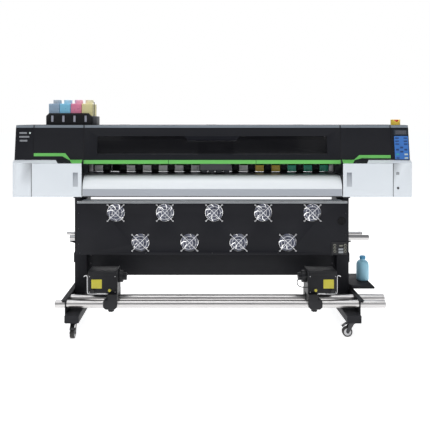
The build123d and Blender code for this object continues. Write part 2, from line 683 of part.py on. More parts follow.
# ---------------------------------------------------------------- hood
def window_outline(gap):
    """Window opening as a front view: a long strip whose top edge dips in the middle."""
    dip_half = 185.0
    dip = 30.0
    left = -WINDOW_HALF + gap
    right = WINDOW_HALF - gap
    low = WINDOW_BOTTOM + gap
    high = WINDOW_TOP - gap
    points = [(left, low), (right, low), (right, high), (dip_half + gap, high), (dip_half - 30 + gap, high - dip),
              (-dip_half + 30 - gap, high - dip), (-dip_half - gap, high), (left, high)]
    face = make_face(Plane.XZ * Polyline(*points, close=True))
    solid = extrude(face, amount=400, both=True)
    return fillet(solid.edges().filter_by(Axis.Y), 7)


def hood_shell():
    outer = prism_x(cover_profile(HOOD_BOTTOM, HOOD_HINGE_Y - 2, 0, 0), -CENTRE_HALF, CENTRE_HALF)
    lean = cover_profile(HOOD_BOTTOM, HOOD_HINGE_Y + 30, SHEET, 5)
    inner = prism_x(lean, -CENTRE_HALF - 1, CENTRE_HALF + 1)
    outer = round_along_x(outer, TOP_RADIUS, face_y(MACHINE_TOP), MACHINE_TOP)
    inner = round_along_x(inner, TOP_RADIUS - SHEET, face_y(MACHINE_TOP), MACHINE_TOP)
    return outer - inner


def hood():
    """Front and roof of the print cover, cut for the window."""
    return hood_shell() - (window_outline(0) & block(-900, 900, -260, -100, 1000, 1400))


def hood_window():
    pane = hood_shell() & (window_outline(WINDOW_GAP) & block(-900, 900, -260, -100, 1000, 1400))
    return pane


# ---------------------------------------------------------------- console and ink
def control_panel():
    """Console on the right end cap: frame, display, keypad and the emergency-stop shroud."""
    def facing(z0, z1, x0, x1, proud, back):
        points = [(face_y(z0) - proud, z0), (face_y(z1) - proud, z1), (face_y(z1) - back, z1),
                  (face_y(z0) - back, z0)]
        return prism_x(points, x0, x1)
    frame = facing(COVER_SPLIT + 1, 1306, 1180, 1284, 3, 0)
    display = facing(1268, 1301, 1189, 1280, 4.5, 3)
    keypad = facing(1110, 1261, 1189, 1280, 4.5, 3)
    shroud = rod_z(ESTOP_X, ESTOP_Y, MACHINE_TOP, 1371, 31) - rod_z(ESTOP_X, ESTOP_Y, MACHINE_TOP + 4, 1372, 27)
    shroud += rod_z(ESTOP_X, ESTOP_Y, MACHINE_TOP, 1347, 12)
    shroud -= rod_z(ESTOP_X, ESTOP_Y, MACHINE_TOP + 1, 1348, 5 + FIT)
    return [frame, display, keypad, shroud]


def estop_button():
    cap = rod_z(ESTOP_X, ESTOP_Y, 1354, 1367, 20)
    cap = fillet(cap.edges().filter_by(GeomType.CIRCLE).sort_by(Axis.Z)[-1], 6)
    return cap + rod_z(ESTOP_X, ESTOP_Y, 1340, 1355, 5)


def tank_x(k):
    return TRAY_X + (k - 1.5) * TANK_PITCH


def ink_tray():
    """Open tray for four tanks; its front wall has chamfered shoulders and a sight slot per tank."""
    x0 = TRAY_X - TRAY_HALF
    x1 = TRAY_X + TRAY_HALF
    z0 = MACHINE_TOP + 1
    front = [(x0, z0), (x0, 1394), (x0 + 20, 1414), (x1 - 20, 1414), (x1, 1394), (x1, z0)]
    tray = prism_y(front, TRAY_FRONT, TRAY_FRONT + 3)
    tray += block(x0, x1, TRAY_FRONT, TRAY_BACK, z0, z0 + 3)
    tray += block(x0, x0 + 3, TRAY_FRONT, TRAY_BACK, z0, 1394)
    tray += block(x1 - 3, x1, TRAY_FRONT, TRAY_BACK, z0, 1394)
    tray += block(x0, x1, TRAY_BACK - 3, TRAY_BACK, z0, 1394)
    for k in range(4):
        x = tank_x(k)
        tray -= block(x - 8, x + 8, TRAY_FRONT - 2, TRAY_FRONT + 5, 1353, 1397)
    return tray


def ink_tank(k):
    x = tank_x(k)
    body = block(x - TANK_HALF, x + TANK_HALF, 110, 282, MACHINE_TOP + 4.5, 1482)
    body = fillet(body.edges(), 8)
    return body + rod_z(x, 210, 1480, 1492, 22)


def ink_cap(k):
    x = tank_x(k)
    cap = rod_z(x, 210, 1484, 1510, 29)
    cap = fillet(cap.edges().filter_by(GeomType.CIRCLE).sort_by(Axis.Z)[-1], 3)
    return cap - rod_z(x, 210, 1482, 1494, 22.1)


def waste_bottle():
    x = 1043.0
    y = 41.0
    bottle = rod_z(x, y, 265.3, 400, 42)
    bottle = fillet(bottle.edges().filter_by(GeomType.CIRCLE), 8)
    bottle += rod_z(x, y, 398, 410, 18)
    return [bottle, rod_z(x, y, 410, 430, 20)]


# ---------------------------------------------------------------- write every node
def both_sides(solid):
    return group([solid, mirrored(solid)])


save(both_sides(leg()), "legs")
right_foot = [foot(), foot_plug(-1), foot_plug(1), caster_plate(-CASTER_Y), caster_plate(CASTER_Y)]
save(group(right_foot + [mirrored(s) for s in right_foot]), "feet")
save(cross_beam(), "cross_beam")
save(group([rail_bracket(), mirrored(rail_bracket()), feed_bracket(), mirrored(feed_bracket()),
            bottle_shelf()]), "stand_brackets")
save(group(take_up_rails() + [guide_tube()]), "stand_tubes")

CASTERS = {"front_left": (-LEG_X, -CASTER_Y, 180), "front_right": (LEG_X, -CASTER_Y, 90),
           "rear_left": (-LEG_X, CASTER_Y, 0), "rear_right": (LEG_X, CASTER_Y, 0)}
for place, (x, y, heading) in CASTERS.items():
    save(caster_fork(x, y, heading), f"{place}_caster_fork")
    save(caster_wheel(x, y, heading), f"{place}_caster_wheel")

save(fan_panel(), "fan_panel")
fans = UPPER_FANS + LOWER_FANS
save(group([fan_housing(x, z) for x, z in fans]), "fan_housings")
save(group([fan_guard(x, z) for x, z in fans]), "fan_guards")
for number, (x, z) in enumerate(fans, start=1):
    save(fan_rotor(x, z), f"fan_rotor_{number}")
save(group(socket_panel()), "socket_panel")

save(take_up_unit(), "right_take_up")
save(mirrored(take_up_unit()), "left_take_up")
save(take_up_chuck(), "right_chuck")
save(mirrored(take_up_chuck()), "left_chuck")
save(clamp_knob(), "right_clamp_knob")
save(mirrored(clamp_knob()), "left_clamp_knob")
save(take_up_cable(), "take_up_cable")
save(feed_shaft(), "feed_shaft")

save(both_sides(lower_cover()), "lower_covers")
save(both_sides(upper_cover()), "upper_covers")
save(both_sides(end_cap()), "end_caps")
save(door(), "right_door")
save(mirrored(door()), "left_door")
save(rear_cover(), "rear_cover")
save(both_sides(side_frame()), "side_frames")

save(front_platen(), "front_platen")
save(group(print_platen()), "print_platen")
save(grit_roller(), "grit_roller")
save(group(pinch_arms()), "pinch_arms")
save(group([pinch_roller(pinch_x(k)) for k in range(PINCH_COUNT)]), "pinch_rollers")

save(group(head_beam()), "head_beam")
save(group(drive_motor()), "drive_motor")
save(belt_pulley(PULLEY_X, BELT_Z + 21), "motor_pulley")
save(belt_pulley(-PULLEY_X, BELT_Z + 12), "idler_pulley")
save(drive_belt(), "drive_belt")
save(carriage(), "carriage")
save(hood(), "hood")
save(hood_window(), "hood_window")

save(group(control_panel()), "control_panel")
save(estop_button(), "estop_button")
save(ink_tray(), "ink_tray")
save(group([ink_tank(k) for k in range(4)]), "ink_tanks")
save(group([ink_cap(k) for k in range(4)]), "ink_caps")
save(group(waste_bottle()), "waste_bottle")
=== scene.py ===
import bpy
import bmesh
import json
from math import cos, degrees, pi, radians, sin
from mathutils import Matrix, Vector

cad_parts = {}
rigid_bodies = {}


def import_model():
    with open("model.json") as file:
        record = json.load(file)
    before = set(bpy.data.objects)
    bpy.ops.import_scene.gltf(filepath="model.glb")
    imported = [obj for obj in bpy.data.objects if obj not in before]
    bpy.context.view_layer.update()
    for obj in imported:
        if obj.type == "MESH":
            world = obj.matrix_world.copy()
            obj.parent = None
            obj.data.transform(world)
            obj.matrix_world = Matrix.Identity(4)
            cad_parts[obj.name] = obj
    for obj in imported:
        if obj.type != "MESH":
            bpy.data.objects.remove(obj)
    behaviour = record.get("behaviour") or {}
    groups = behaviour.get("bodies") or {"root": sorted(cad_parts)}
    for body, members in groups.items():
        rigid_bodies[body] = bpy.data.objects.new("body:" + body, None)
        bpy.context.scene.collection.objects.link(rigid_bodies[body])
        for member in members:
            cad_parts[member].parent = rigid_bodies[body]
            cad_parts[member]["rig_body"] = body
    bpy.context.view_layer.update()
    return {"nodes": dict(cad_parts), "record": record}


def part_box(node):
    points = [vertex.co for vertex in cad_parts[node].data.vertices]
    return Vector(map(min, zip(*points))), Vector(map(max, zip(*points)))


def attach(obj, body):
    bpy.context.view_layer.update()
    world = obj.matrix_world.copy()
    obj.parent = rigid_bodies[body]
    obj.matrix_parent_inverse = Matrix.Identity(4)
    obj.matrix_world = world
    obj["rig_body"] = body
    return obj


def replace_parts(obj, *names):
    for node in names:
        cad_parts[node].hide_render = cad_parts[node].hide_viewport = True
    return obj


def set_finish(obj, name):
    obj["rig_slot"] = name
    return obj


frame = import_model()

NODES = frame["nodes"]
RECORD = frame["record"]
SLOT_OF = {s["node"]: s["material_slot"] for s in RECORD["subparts"]}
BODY_OF = {n: b for b, members in RECORD["behaviour"]["bodies"].items() for n in members}
MM = 0.001
SIDES = (("left", -1), ("right", 1))
NOISE_LOW, NOISE_HIGH = 0.3, 0.7      # most of a noise lies between these

# ---- places read from the frame
COVER_LOW, COVER_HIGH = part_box("upper_covers")
LOWER_LOW, LOWER_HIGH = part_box("lower_covers")
CAP_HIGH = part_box("end_caps")[1]
HOOD_LOW, HOOD_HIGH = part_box("hood")
PLATEN_LOW, PLATEN_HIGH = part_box("front_platen")
PANEL_LOW, PANEL_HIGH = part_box("fan_panel")
FOOT_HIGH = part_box("feet")[1]
TRAY_LOW, TRAY_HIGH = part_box("ink_tray")
SPLIT_Z = COVER_LOW.z                 # white lower cover meets black upper cover
TOP_Z = COVER_HIGH.z
FACE_Y = COVER_LOW.y                  # black face where it meets the white cover
FACE_SLOPE = 30.0 / 202.0             # the black face leans back by this much per unit of height
CABINET_FRONT = LOWER_LOW.y
SEAM_X = CAP_HIGH.x - 121 * MM        # joint between side cover and end cap
INNER_X = COVER_HIGH.x - 326 * MM     # inner end of the side covers


def face_y(z):
    """Y of the leaning black face at height z."""
    return FACE_Y + (z - SPLIT_Z) * FACE_SLOPE


# ---- materials
def node_tree(name):
    mat = bpy.data.materials.new(name)
    mat.use_nodes = True
    tree = mat.node_tree
    shader = tree.nodes["Principled BSDF"]
    coords = tree.nodes.new("ShaderNodeTexCoord")
    return mat, tree, shader, coords


def put(node, values):
    """Sets a node's own sockets by name."""
    for socket, value in values.items():
        node.inputs[socket].default_value = value


def noise(tree, coords, scale, detail=3.0, stretch=None):
    """Noise over object coordinates, drawn out along an axis where stretch is given."""
    tex = tree.nodes.new("ShaderNodeTexNoise")
    put(tex, {"Scale": scale, "Detail": detail})
    source = coords.outputs["Object"]
    if stretch is not None:
        mapping = tree.nodes.new("ShaderNodeMapping")
        put(mapping, {"Scale": stretch})
        tree.links.new(source, mapping.inputs["Vector"])
        source = mapping.outputs["Vector"]
    tree.links.new(source, tex.inputs["Vector"])
    return tex


def ramp(tree, source, stops):
    node = tree.nodes.new("ShaderNodeValToRGB")
    elements = node.color_ramp.elements
    while len(elements) < len(stops):
        elements.new(0.5)
    for element, (place, colour) in zip(elements, stops):
        element.position = place
        element.color = (*colour, 1.0)
    tree.links.new(source, node.inputs["Fac"])
    return node


def span(tree, source, low, high):
    """Spreads the middle range of a noise over low..high."""
    node = tree.nodes.new("ShaderNodeMapRange")
    put(node, {"From Min": NOISE_LOW, "From Max": NOISE_HIGH, "To Min": low, "To Max": high})
    tree.links.new(source, node.inputs["Value"])
    return node


def tint(colour, factor):
    return tuple(min(1.0, c * factor) for c in colour)


def finish(name, colour, rough, metal=0.0, vary=0.06, patch=9.0, grain=900.0, bump=0.12, depth=0.0004,
        coat=0.0, edge=0.0, stretch=None, rough_vary=0.06, specular=0.5, transmission=0.0):
    """One surface: slow colour drift, patchy gloss, fine bump and lightened edges."""
    mat, tree, shader, coords = node_tree(name)
    drift = noise(tree, coords, patch, 4.0, stretch)
    base = ramp(tree, drift.outputs["Fac"], [(NOISE_LOW, tint(colour, 1 - vary)),
            (NOISE_HIGH, tint(colour, 1 + vary))])
    colour_out = base.outputs["Color"]
    if edge > 0:
        geometry = tree.nodes.new("ShaderNodeNewGeometry")
        worn = ramp(tree, geometry.outputs["Pointiness"], [(0.51, (0, 0, 0)), (0.56, (edge, edge, edge))])
        lift = tree.nodes.new("ShaderNodeMix")
        lift.data_type = "RGBA"
        lift.blend_type = "ADD"
        put(lift, {"Factor": 1.0})
        tree.links.new(colour_out, lift.inputs["A"])
        tree.links.new(worn.outputs["Color"], lift.inputs["B"])
        colour_out = lift.outputs["Result"]
    tree.links.new(colour_out, shader.inputs["Base Color"])
    patches = noise(tree, coords, patch * 3.1, 5.0, stretch)
    gloss = span(tree, patches.outputs["Fac"], max(0.02, rough - rough_vary), min(1.0, rough + rough_vary))
    tree.links.new(gloss.outputs["Result"], shader.inputs["Roughness"])
    fine = noise(tree, coords, grain, 2.0, stretch)
    relief = tree.nodes.new("ShaderNodeBump")
    put(relief, {"Strength": bump, "Distance": depth})
    tree.links.new(fine.outputs["Fac"], relief.inputs["Height"])
    tree.links.new(relief.outputs["Normal"], shader.inputs["Normal"])
    put(shader, {"Metallic": metal, "Coat Weight": coat, "Coat Roughness": 0.12,
            "Specular IOR Level": specular, "Transmission Weight": transmission})
    return mat


MATERIALS = {
    "white_cover": finish("white_enamel", (0.74, 0.785, 0.83), 0.36, vary=0.012, patch=2.0, grain=420,
        bump=0.05, coat=0.25),
    "black_cover": finish("black_satin_cover", (0.0085, 0.009, 0.0125), 0.40, vary=0.10, patch=3.0,
        grain=1500, bump=0.10, depth=0.0003, edge=0.010, specular=0.09),
    "stand_paint": finish("stand_powder_coat", (0.0095, 0.0098, 0.0135), 0.50, vary=0.12, patch=5.0,
        grain=1100, bump=0.30, depth=0.0006, edge=0.015, specular=0.12),
    "bright_tube": finish("bright_drawn_tube", (0.60, 0.585, 0.58), 0.33, metal=1.0, vary=0.04, patch=60,
        grain=700, bump=0.02, stretch=(0.03, 1.0, 1.0), rough_vary=0.07),
    "fan_plastic": finish("fan_frame_plastic", (0.012, 0.012, 0.014), 0.55, patch=30),
    "guard_wire": finish("plated_guard_wire", (0.93, 0.93, 0.96), 0.26, metal=0.10, patch=80, grain=600,
        bump=0.05),
    "rotor_plastic": finish("fan_rotor_plastic", (0.14, 0.15, 0.21), 0.36, vary=0.10, patch=40),
    "socket_metal": finish("nickel_socket", (0.26, 0.26, 0.22), 0.34, metal=0.8, patch=90, grain=900),
    "frame_steel": finish("grey_frame_steel", (0.12, 0.12, 0.13), 0.5, metal=0.2, patch=12),
    "platen_white": finish("heated_apron_enamel", (0.87, 0.905, 0.935), 0.34, vary=0.006, patch=2.0,
        grain=300, bump=0.02, coat=0.15),
    "deck_aluminium": finish("anodised_aluminium", (0.62, 0.63, 0.65), 0.36, metal=0.9, patch=50,
        grain=800, stretch=(0.04, 1.0, 1.0)),
    "roller_grit": finish("grit_roller_steel", (0.40, 0.40, 0.41), 0.45, metal=0.9, patch=90, grain=2400,
        bump=0.8, depth=0.0008),
    "black_plastic": finish("black_moulding", (0.0105, 0.0105, 0.013), 0.42, vary=0.10, patch=25,
        grain=1300, bump=0.22, edge=0.02, specular=0.2),
    "roller_rubber": finish("black_rubber", (0.010, 0.010, 0.011), 0.75, patch=40, grain=1500, bump=0.3,
        specular=0.15),
    "cable_rubber": finish("cable_jacket", (0.013, 0.013, 0.014), 0.5, patch=60, grain=2200, bump=0.15),
    "console_plastic": finish("console_moulding", (0.012, 0.014, 0.019), 0.38, patch=20, grain=1300,
        specular=0.15),
    "stop_red": finish("stop_red", (0.62, 0.022, 0.016), 0.24, vary=0.05, patch=30, grain=900, bump=0.04,
        coat=0.5),
    "bottle_plastic": finish("bottle_polythene", (0.38, 0.73, 0.90), 0.42, vary=0.06, patch=18, grain=500,
        bump=0.08, transmission=0.12),
    "caster_steel": finish("black_passivated_steel", (0.06, 0.06, 0.065), 0.38, metal=0.6, vary=0.12,
        patch=45, grain=900, bump=0.1),
    "caster_tread": finish("caster_tread", (0.030, 0.027, 0.027), 0.6, vary=0.12, patch=60, grain=1200,
        bump=0.25),
    "tank_plastic": finish("tank_polythene", (0.70, 0.82, 0.92), 0.35, patch=16, transmission=0.2),
    "cap_plastic": finish("cap_polythene", (0.62, 0.66, 0.70), 0.4, patch=40),
}
GREEN = finish("green_trim", (0.15, 0.52, 0.12), 0.38, vary=0.03, patch=8, grain=700, bump=0.04, specular=0.3)
# Lighter grey for the top edge of the black covers: a painted highlight standing in for light on their rounded
# edge
EDGE_HIGHLIGHT_PAINT = finish("painted_edge_highlight", (0.185, 0.215, 0.250), 0.34, vary=0.06, patch=4.0)
# Grey for the doors' finger recesses: painted shade in the scoop
RECESS_PAINTED_SHADE = finish("recess_shade", (0.50, 0.53, 0.57), 0.45, vary=0.05, patch=20)
# Grey for the apron's lower skirt: painted shade where the apron turns down from the light
SKIRT_PAINTED_SHADE = finish("apron_skirt_painted_shade", (0.40, 0.425, 0.47), 0.34, vary=0.02, patch=2.0)
PLATE_SILVER = finish("guide_plate", (0.94, 0.94, 0.95), 0.32, vary=0.10, patch=60)
PLATE_AMBER = finish("guide_plate_amber", (0.95, 0.70, 0.12), 0.34, vary=0.05, patch=18)
PLATE_TEAL = finish("guide_plate_teal", (0.08, 0.62, 0.42), 0.34, vary=0.05, patch=18)
# Pale panes behind the ink tray's slots: painted light standing in for the lit translucent tanks
LEVEL_PAINTED_LIGHT = finish("painted_light_level_strip", (0.55, 0.56, 0.66), 0.45, vary=0.05, patch=30)
LINE_COVER = finish("line_cover", (0.085, 0.088, 0.098), 0.45, vary=0.08, patch=14, grain=900, bump=0.1)
BOTTLE_CAP = finish("bottle_cap_blue", (0.10, 0.36, 0.60), 0.35, vary=0.05, patch=40)
YELLOW = finish("yellow_shroud", (1.0, 0.70, 0.09), 0.34, vary=0.04, patch=25)
LABEL = finish("plain_yellow_label", (0.56, 0.50, 0.045), 0.45, vary=0.05, patch=40, grain=900)
KEYPAD = finish("keypad_membrane", (0.035, 0.16, 0.50), 0.38, vary=0.05, patch=25, grain=1500, bump=0.10)
KEY_DARK = finish("key_dark", (0.012, 0.05, 0.17), 0.35, patch=60)
KEY_PALE = finish("key_pale", (0.50, 0.58, 0.56), 0.4, patch=60)
KEY_GREEN = finish("key_green", (0.03, 0.30, 0.33), 0.4, patch=60)
SCREEN = finish("display_glass", (0.030, 0.038, 0.050), 0.22, vary=0.10, patch=30, grain=300, bump=0.0,
        specular=0.2)
SCREEN_FACE = finish("display_field", (0.060, 0.064, 0.082), 0.3, vary=0.06, patch=60)
PLATE_GREY = finish("plain_grey_plate", (0.34, 0.36, 0.38), 0.4, vary=0.05, patch=50)
PRINT_GREY = finish("plain_print_bars", (0.22, 0.23, 0.25), 0.5, vary=0.10, patch=90)
SEAM_BLACK = finish("seam_shadow", (0.006, 0.006, 0.008), 0.6, patch=20)
SCREW_STEEL = finish("screw_steel", (0.46, 0.46, 0.47), 0.3, metal=1.0, patch=90, grain=1500)
BLACK_SCREW = finish("black_oxide_screw", (0.05, 0.05, 0.055), 0.38, metal=0.7, patch=90)
HOLE_BLACK = finish("dark_hole", (0.004, 0.004, 0.005), 0.8, patch=20)
CARRIAGE_GREY = finish("carriage_cover", (0.06, 0.065, 0.075), 0.36, vary=0.06, patch=14)


def smoked_acrylic():
    """Dark see-through sheet with a glossy face."""
    mat, tree, shader, coords = node_tree("smoked_acrylic")
    drift = noise(tree, coords, 3.0, 2.0)
    base = ramp(tree, drift.outputs["Fac"], [(0.35, (0.0035, 0.0035, 0.005)),
            (0.65, (0.0055, 0.0055, 0.007))])
    tree.links.new(base.outputs["Color"], shader.inputs["Base Color"])
    put(shader, {"Roughness": 0.14, "Alpha": 0.80, "Specular IOR Level": 0.16})
    return mat


MATERIALS["smoked_window"] = smoked_acrylic()


def own(slot, body="root"):
    """Material, body and slot of a piece that wears its slot's own material."""
    return MATERIALS[slot], body, slot


# material, body and slot of plain pieces that come up often
SEAM = (SEAM_BLACK, "root", "roller_rubber")
BLACK_BOLT = (BLACK_SCREW, "root", "frame_steel")
BLANK_PLATE = (PLATE_GREY, "root", "frame_steel")


# ---- mesh tools
def link(obj):
    bpy.context.scene.collection.objects.link(obj)
    return obj


def dress(obj, material, body, slot, smooth=35.0):
    """Gives a piece its material, body and record slot, and shades it smooth up to an angle."""
    obj.data.materials.clear()
    obj.data.materials.append(material)
    if obj.type == "MESH":
        for polygon in obj.data.polygons:
            polygon.use_smooth = True
        obj.data.set_sharp_from_angle(angle=radians(smooth))
    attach(obj, body)
    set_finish(obj, slot)
    return obj


def from_bmesh(name, bm):
    mesh = bpy.data.meshes.new(name)
    bmesh.ops.recalc_face_normals(bm, faces=bm.faces)
    bm.to_mesh(mesh)
    bm.free()
    return link(bpy.data.objects.new(name, mesh))


def bevelled(obj, width, segments=2, angle=30.0):
    """Rounds the sharp edges of obj and keeps the result as its mesh."""
    modifier = obj.modifiers.new("bevel", "BEVEL")
    modifier.width = width
    modifier.segments = segments
    modifier.limit_method = "ANGLE"
    modifier.angle_limit = radians(angle)
    modifier.use_clamp_overlap = False
    graph = bpy.context.evaluated_depsgraph_get()
    mesh = bpy.data.meshes.new_from_object(obj.evaluated_get(graph))
    obj.modifiers.clear()
    obj.data = mesh
    return obj


def refined(node, width, segments=2, material=None, keep=None):
    """A copy of a CAD node with clean faces and rounded edges, which stands for the node."""
    source = NODES[node]
    bm = bmesh.new()
    bm.from_mesh(source.data)
    bmesh.ops.remove_doubles(bm, verts=bm.verts, dist=2e-5)
    if keep is not None:
        bmesh.ops.delete(bm, geom=[f for f in bm.faces if not keep(f.calc_center_median())], context="FACES")
    bmesh.ops.dissolve_limit(bm, angle_limit=radians(0.6), verts=bm.verts, edges=bm.edges, delimit={"SHARP"})
    hollow = [f for f in bm.faces if len(f.verts) > 4]
    bmesh.ops.connect_verts_concave(bm, faces=hollow)
    obj = from_bmesh(node + "_shell", bm)
    if width > 0:
        bevelled(obj, width, segments)
    slot = SLOT_OF[node]
    dress(obj, material or MATERIALS[slot], BODY_OF[node], slot)
    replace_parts(obj, node)
    return obj


def skin(bm, rings, ends=True):
    """Faces from each ring of vertices to the next. A ring of one vertex closes to a point."""
    for low, high in zip(rings, rings[1:]):
        count = max(len(low), len(high))
        for k in range(count):
            j = (k + 1) % count
            if len(low) == 1:
                bm.faces.new((low[0], high[k], high[j]))
            elif len(high) == 1:
                bm.faces.new((low[k], low[j], high[0]))
            else:
                bm.faces.new((low[k], low[j], high[j], high[k]))
    if ends:
        bm.faces.new(rings[0])
        bm.faces.new(rings[-1][::-1])


def lofted(name, rows, material, body, slot):
    """A closed skin over rows of corners."""
    bm = bmesh.new()
    skin(bm, [[bm.verts.new(corner) for corner in row] for row in rows])
    return dress(from_bmesh(name, bm), material, body, slot)


def prism(name, points, to_front, to_back, bevel=0.0):
    """A plate: an outline in X and Z whose front and back lie where two functions of z put them."""
    bm = bmesh.new()
    skin(bm, [[bm.verts.new((x, place(z), z)) for x, z in points] for place in (to_front, to_back)])
    obj = from_bmesh(name, bm)
    return bevelled(obj, bevel) if bevel > 0 else obj


def rectangle(x0, x1, z0, z1):
    return [(x0, z0), (x1, z0), (x1, z1), (x0, z1)]


def rounded(x0, x1, z0, z1, radius, steps=5):
    """Outline of a rectangle with round corners, counter-clockwise in X and Z."""
    points = []
    for cx, cz, start in ((x1 - radius, z1 - radius, 0), (x0 + radius, z1 - radius, 90),
            (x0 + radius, z0 + radius, 180), (x1 - radius, z0 + radius, 270)):
        for k in range(steps + 1):
            a = radians(start + 90 * k / steps)
            points.append((cx + radius * cos(a), cz + radius * sin(a)))
    return points


def on_face(name, points, proud, depth, material, body="root", slot="console_plastic", bevel=0.0004):
    """A plate laid on the leaning black face, standing proud of it."""
    obj = prism(name, points, lambda z: face_y(z) - proud, lambda z: face_y(z) - proud + depth, bevel)
    return dress(obj, material, body, slot)


def flat_plate(name, points, y_front, y_back, material, body, slot, bevel=0.0004):
    obj = prism(name, points, lambda z: y_front, lambda z: y_back, bevel)
    return dress(obj, material, body, slot)


def chamfer_box(name, low, high, bevel, material, body, slot, segments=2):
    bm = bmesh.new()
    bmesh.ops.create_cube(bm, size=1.0)
    size = Vector(high) - Vector(low)
    centre = (Vector(high) + Vector(low)) / 2
    for v in bm.verts:
        v.co = Vector((v.co.x * size.x, v.co.y * size.y, v.co.z * size.z)) + centre
    obj = from_bmesh(name, bm)
    bevelled(obj, bevel, segments)
    return dress(obj, material, body, slot)


AXES = {"x": Matrix.Rotation(radians(90), 4, "Y"), "y": Matrix.Rotation(radians(90), 4, "X"),
        "-y": Matrix.Rotation(radians(-90), 4, "X"), "z": Matrix.Identity(4),
        "-x": Matrix.Rotation(radians(-90), 4, "Y")}


def lathe(name, profile, centre, axis, material, body, slot, turns=48, smooth=35.0):
    """Turns a profile of (radius, height) points about an axis through centre."""
    bm = bmesh.new()
    skin(bm, [[bm.verts.new((radius * cos(2 * pi * k / turns), radius * sin(2 * pi * k / turns), height))
            for k in range(turns if radius else 1)] for radius, height in profile], ends=False)
    bmesh.ops.transform(bm, matrix=Matrix.Translation(centre) @ AXES[axis], verts=bm.verts)
    return dress(from_bmesh(name, bm), material, body, slot, smooth)


def wire(name, points, radius, material, body, slot):
    """A round wire or hose along a smooth line."""
    curve = bpy.data.curves.new(name, "CURVE")
    curve.dimensions = "3D"
    curve.bevel_depth = radius
    curve.bevel_resolution = 4
    curve.resolution_u = 10
    curve.use_fill_caps = True
    spline = curve.splines.new("NURBS")
    spline.points.add(len(points) - 1)
    for point, place in zip(spline.points, points):
        point.co = (*place, 1.0)
    spline.order_u = 3
    spline.use_endpoint_u = True
    obj = link(bpy.data.objects.new(name, curve))
    curve.materials.append(material)
    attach(obj, body)
    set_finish(obj, slot)
    return obj


def joined(name, pieces):
    """Joins meshes that share a body, a slot and a material into one piece."""
    first = pieces[0]
    bm = bmesh.new()
    for piece in pieces:
        bm.from_mesh(piece.data)
    mesh = bpy.data.meshes.new(name)
    bm.to_mesh(mesh)
    bm.free()
    mesh.materials.append(first.data.materials[0])
    mesh.set_sharp_from_angle(angle=radians(35))
    body = first["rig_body"]
    slot = first["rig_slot"]
    for piece in pieces:
        bpy.data.objects.remove(piece)
    obj = link(bpy.data.objects.new(name, mesh))
    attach(obj, body)
    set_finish(obj, slot)
    return obj


def screws(name, places, axis, radius, material, body, slot):
    """Low domed screw heads with a round recess, as one piece."""
    height = radius * 0.55
    profile = [(0, 0), (radius, 0), (radius, height * 0.45), (radius * 0.85, height * 0.85),
            (radius * 0.5, height), (radius * 0.42, height), (radius * 0.38, height * 0.35),
            (0, height * 0.35)]
    return joined(name, [lathe(f"{name}_{k}", profile, place, axis, material, body, slot, turns=18) for k,
            place in enumerate(places)])


# ---- camera and the looped lead
def place_camera():
    """In front of the machine, slightly left of its middle, level, with the view shifted down."""
    data = bpy.data.cameras.new("camera")
    data.lens = 46.72
    data.sensor_width = 36.0
    data.shift_x = 0.0419
    data.shift_y = -0.2209
    data.clip_end = 60.0
    camera = bpy.data.objects.new("camera", data)
    camera.location = (-0.099, -3.81, 1.366)
    camera.rotation_euler = (radians(90), 0, 0)
    bpy.context.scene.collection.objects.link(camera)
    bpy.context.scene.camera = camera


CABLE_ROUTE = [
    (601, -277, 372),
    (583, -277, 372),
    (560, -278, 371),
    (539, -280, 359),
    (532, -281, 338),
    (541, -280, 318),
    (562, -278, 308),
    (583, -277, 307),
    (601, -277, 307),
]
CABLE_RADIUS = 2.75 * MM


def take_up_cable():
    places = [Vector(p) * MM for p in CABLE_ROUTE]
    lead = wire("take_up_cable_lead", places, CABLE_RADIUS, *own("cable_rubber", "right_take_up"))
    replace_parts(lead, "take_up_cable")


# ---- covers
SCOOP = (0.866, 0.902, 0.93, 1.03)      # X and Z range of a door's finger recess


def in_scoop(centre, sign):
    """Tells whether a face of a door lies in its finger recess."""
    x0, x1, z0, z1 = SCOOP
    return x0 < sign * centre.x < x1 and z0 < centre.z < z1 and centre.y > CABINET_FRONT + 0.0008


def white_cabinets():
    """Lower covers and doors, with the cam lock and a plain plate on the right."""
    refined("lower_covers", 0.0011, 3)
    for side, sign in SIDES:
        refined(f"{side}_door", 0.0010, 2, keep=lambda c: not in_scoop(c, sign))
        # The finger recess is a separate grey piece: painted shade in the scoop
        scoop = refined(f"{side}_door", 0.0, 1, material=RECESS_PAINTED_SHADE, keep=lambda c: in_scoop(c, sign))
        scoop.name = f"{side}_door_scoop"
    lock_x = 1.194
    front = CABINET_FRONT
    for sign in (-1, 1):
        seam = rounded(sign * SEAM_X - 0.0009, sign * SEAM_X + 0.0009, LOWER_LOW.z + 0.001, SPLIT_Z - 0.021,
                0.0004, 2)
        flat_plate(f"door_seam_{sign}", seam, front - 0.0003, front + 0.0004, *SEAM, 0.0)
    lathe("cam_lock", [(0, 0.0), (0.0075, 0), (0.0075, 0.0015), (0.0065, 0.003), (0.0022, 0.003),
            (0.0020, 0.0008), (0, 0.0008)], (lock_x + 0.004, front, 0.927), "y", *BLACK_BOLT, turns=28)
    flat_plate("plain_plate", rounded(lock_x - 0.009, lock_x + 0.012, 1.012, 1.029, 0.003), front - 0.0012,
            front, *BLANK_PLATE)


STEP_X = 1.018          # where the white cover's top edge steps down
STEP_RUN = 0.022
BEVEL_TALL = 0.017      # height of the bevel along the white cover's top edge
APRON_LOW = SPLIT_Z - 0.0205


def edge_strip(name, sign, inner, start, bottom, top, proud, thick, material, slot):
    """A thin strip over the white cover's bevelled top edge. Its outer end slants by STEP_RUN."""
    rows = []
    for z in (bottom, SPLIT_Z - BEVEL_TALL, top):
        lean = (FACE_Y - CABINET_FRONT) / BEVEL_TALL
        y = max(CABINET_FRONT, FACE_Y - (SPLIT_Z - z) * lean) - proud
        outer = start + STEP_RUN * (z - bottom) / (top - bottom)
        rows.append([(sign * x, y + dy, z) for x, dy in ((inner, 0), (outer, 0), (outer, thick),
                (inner, thick))])
    lofted(name, rows, material, "root", slot)


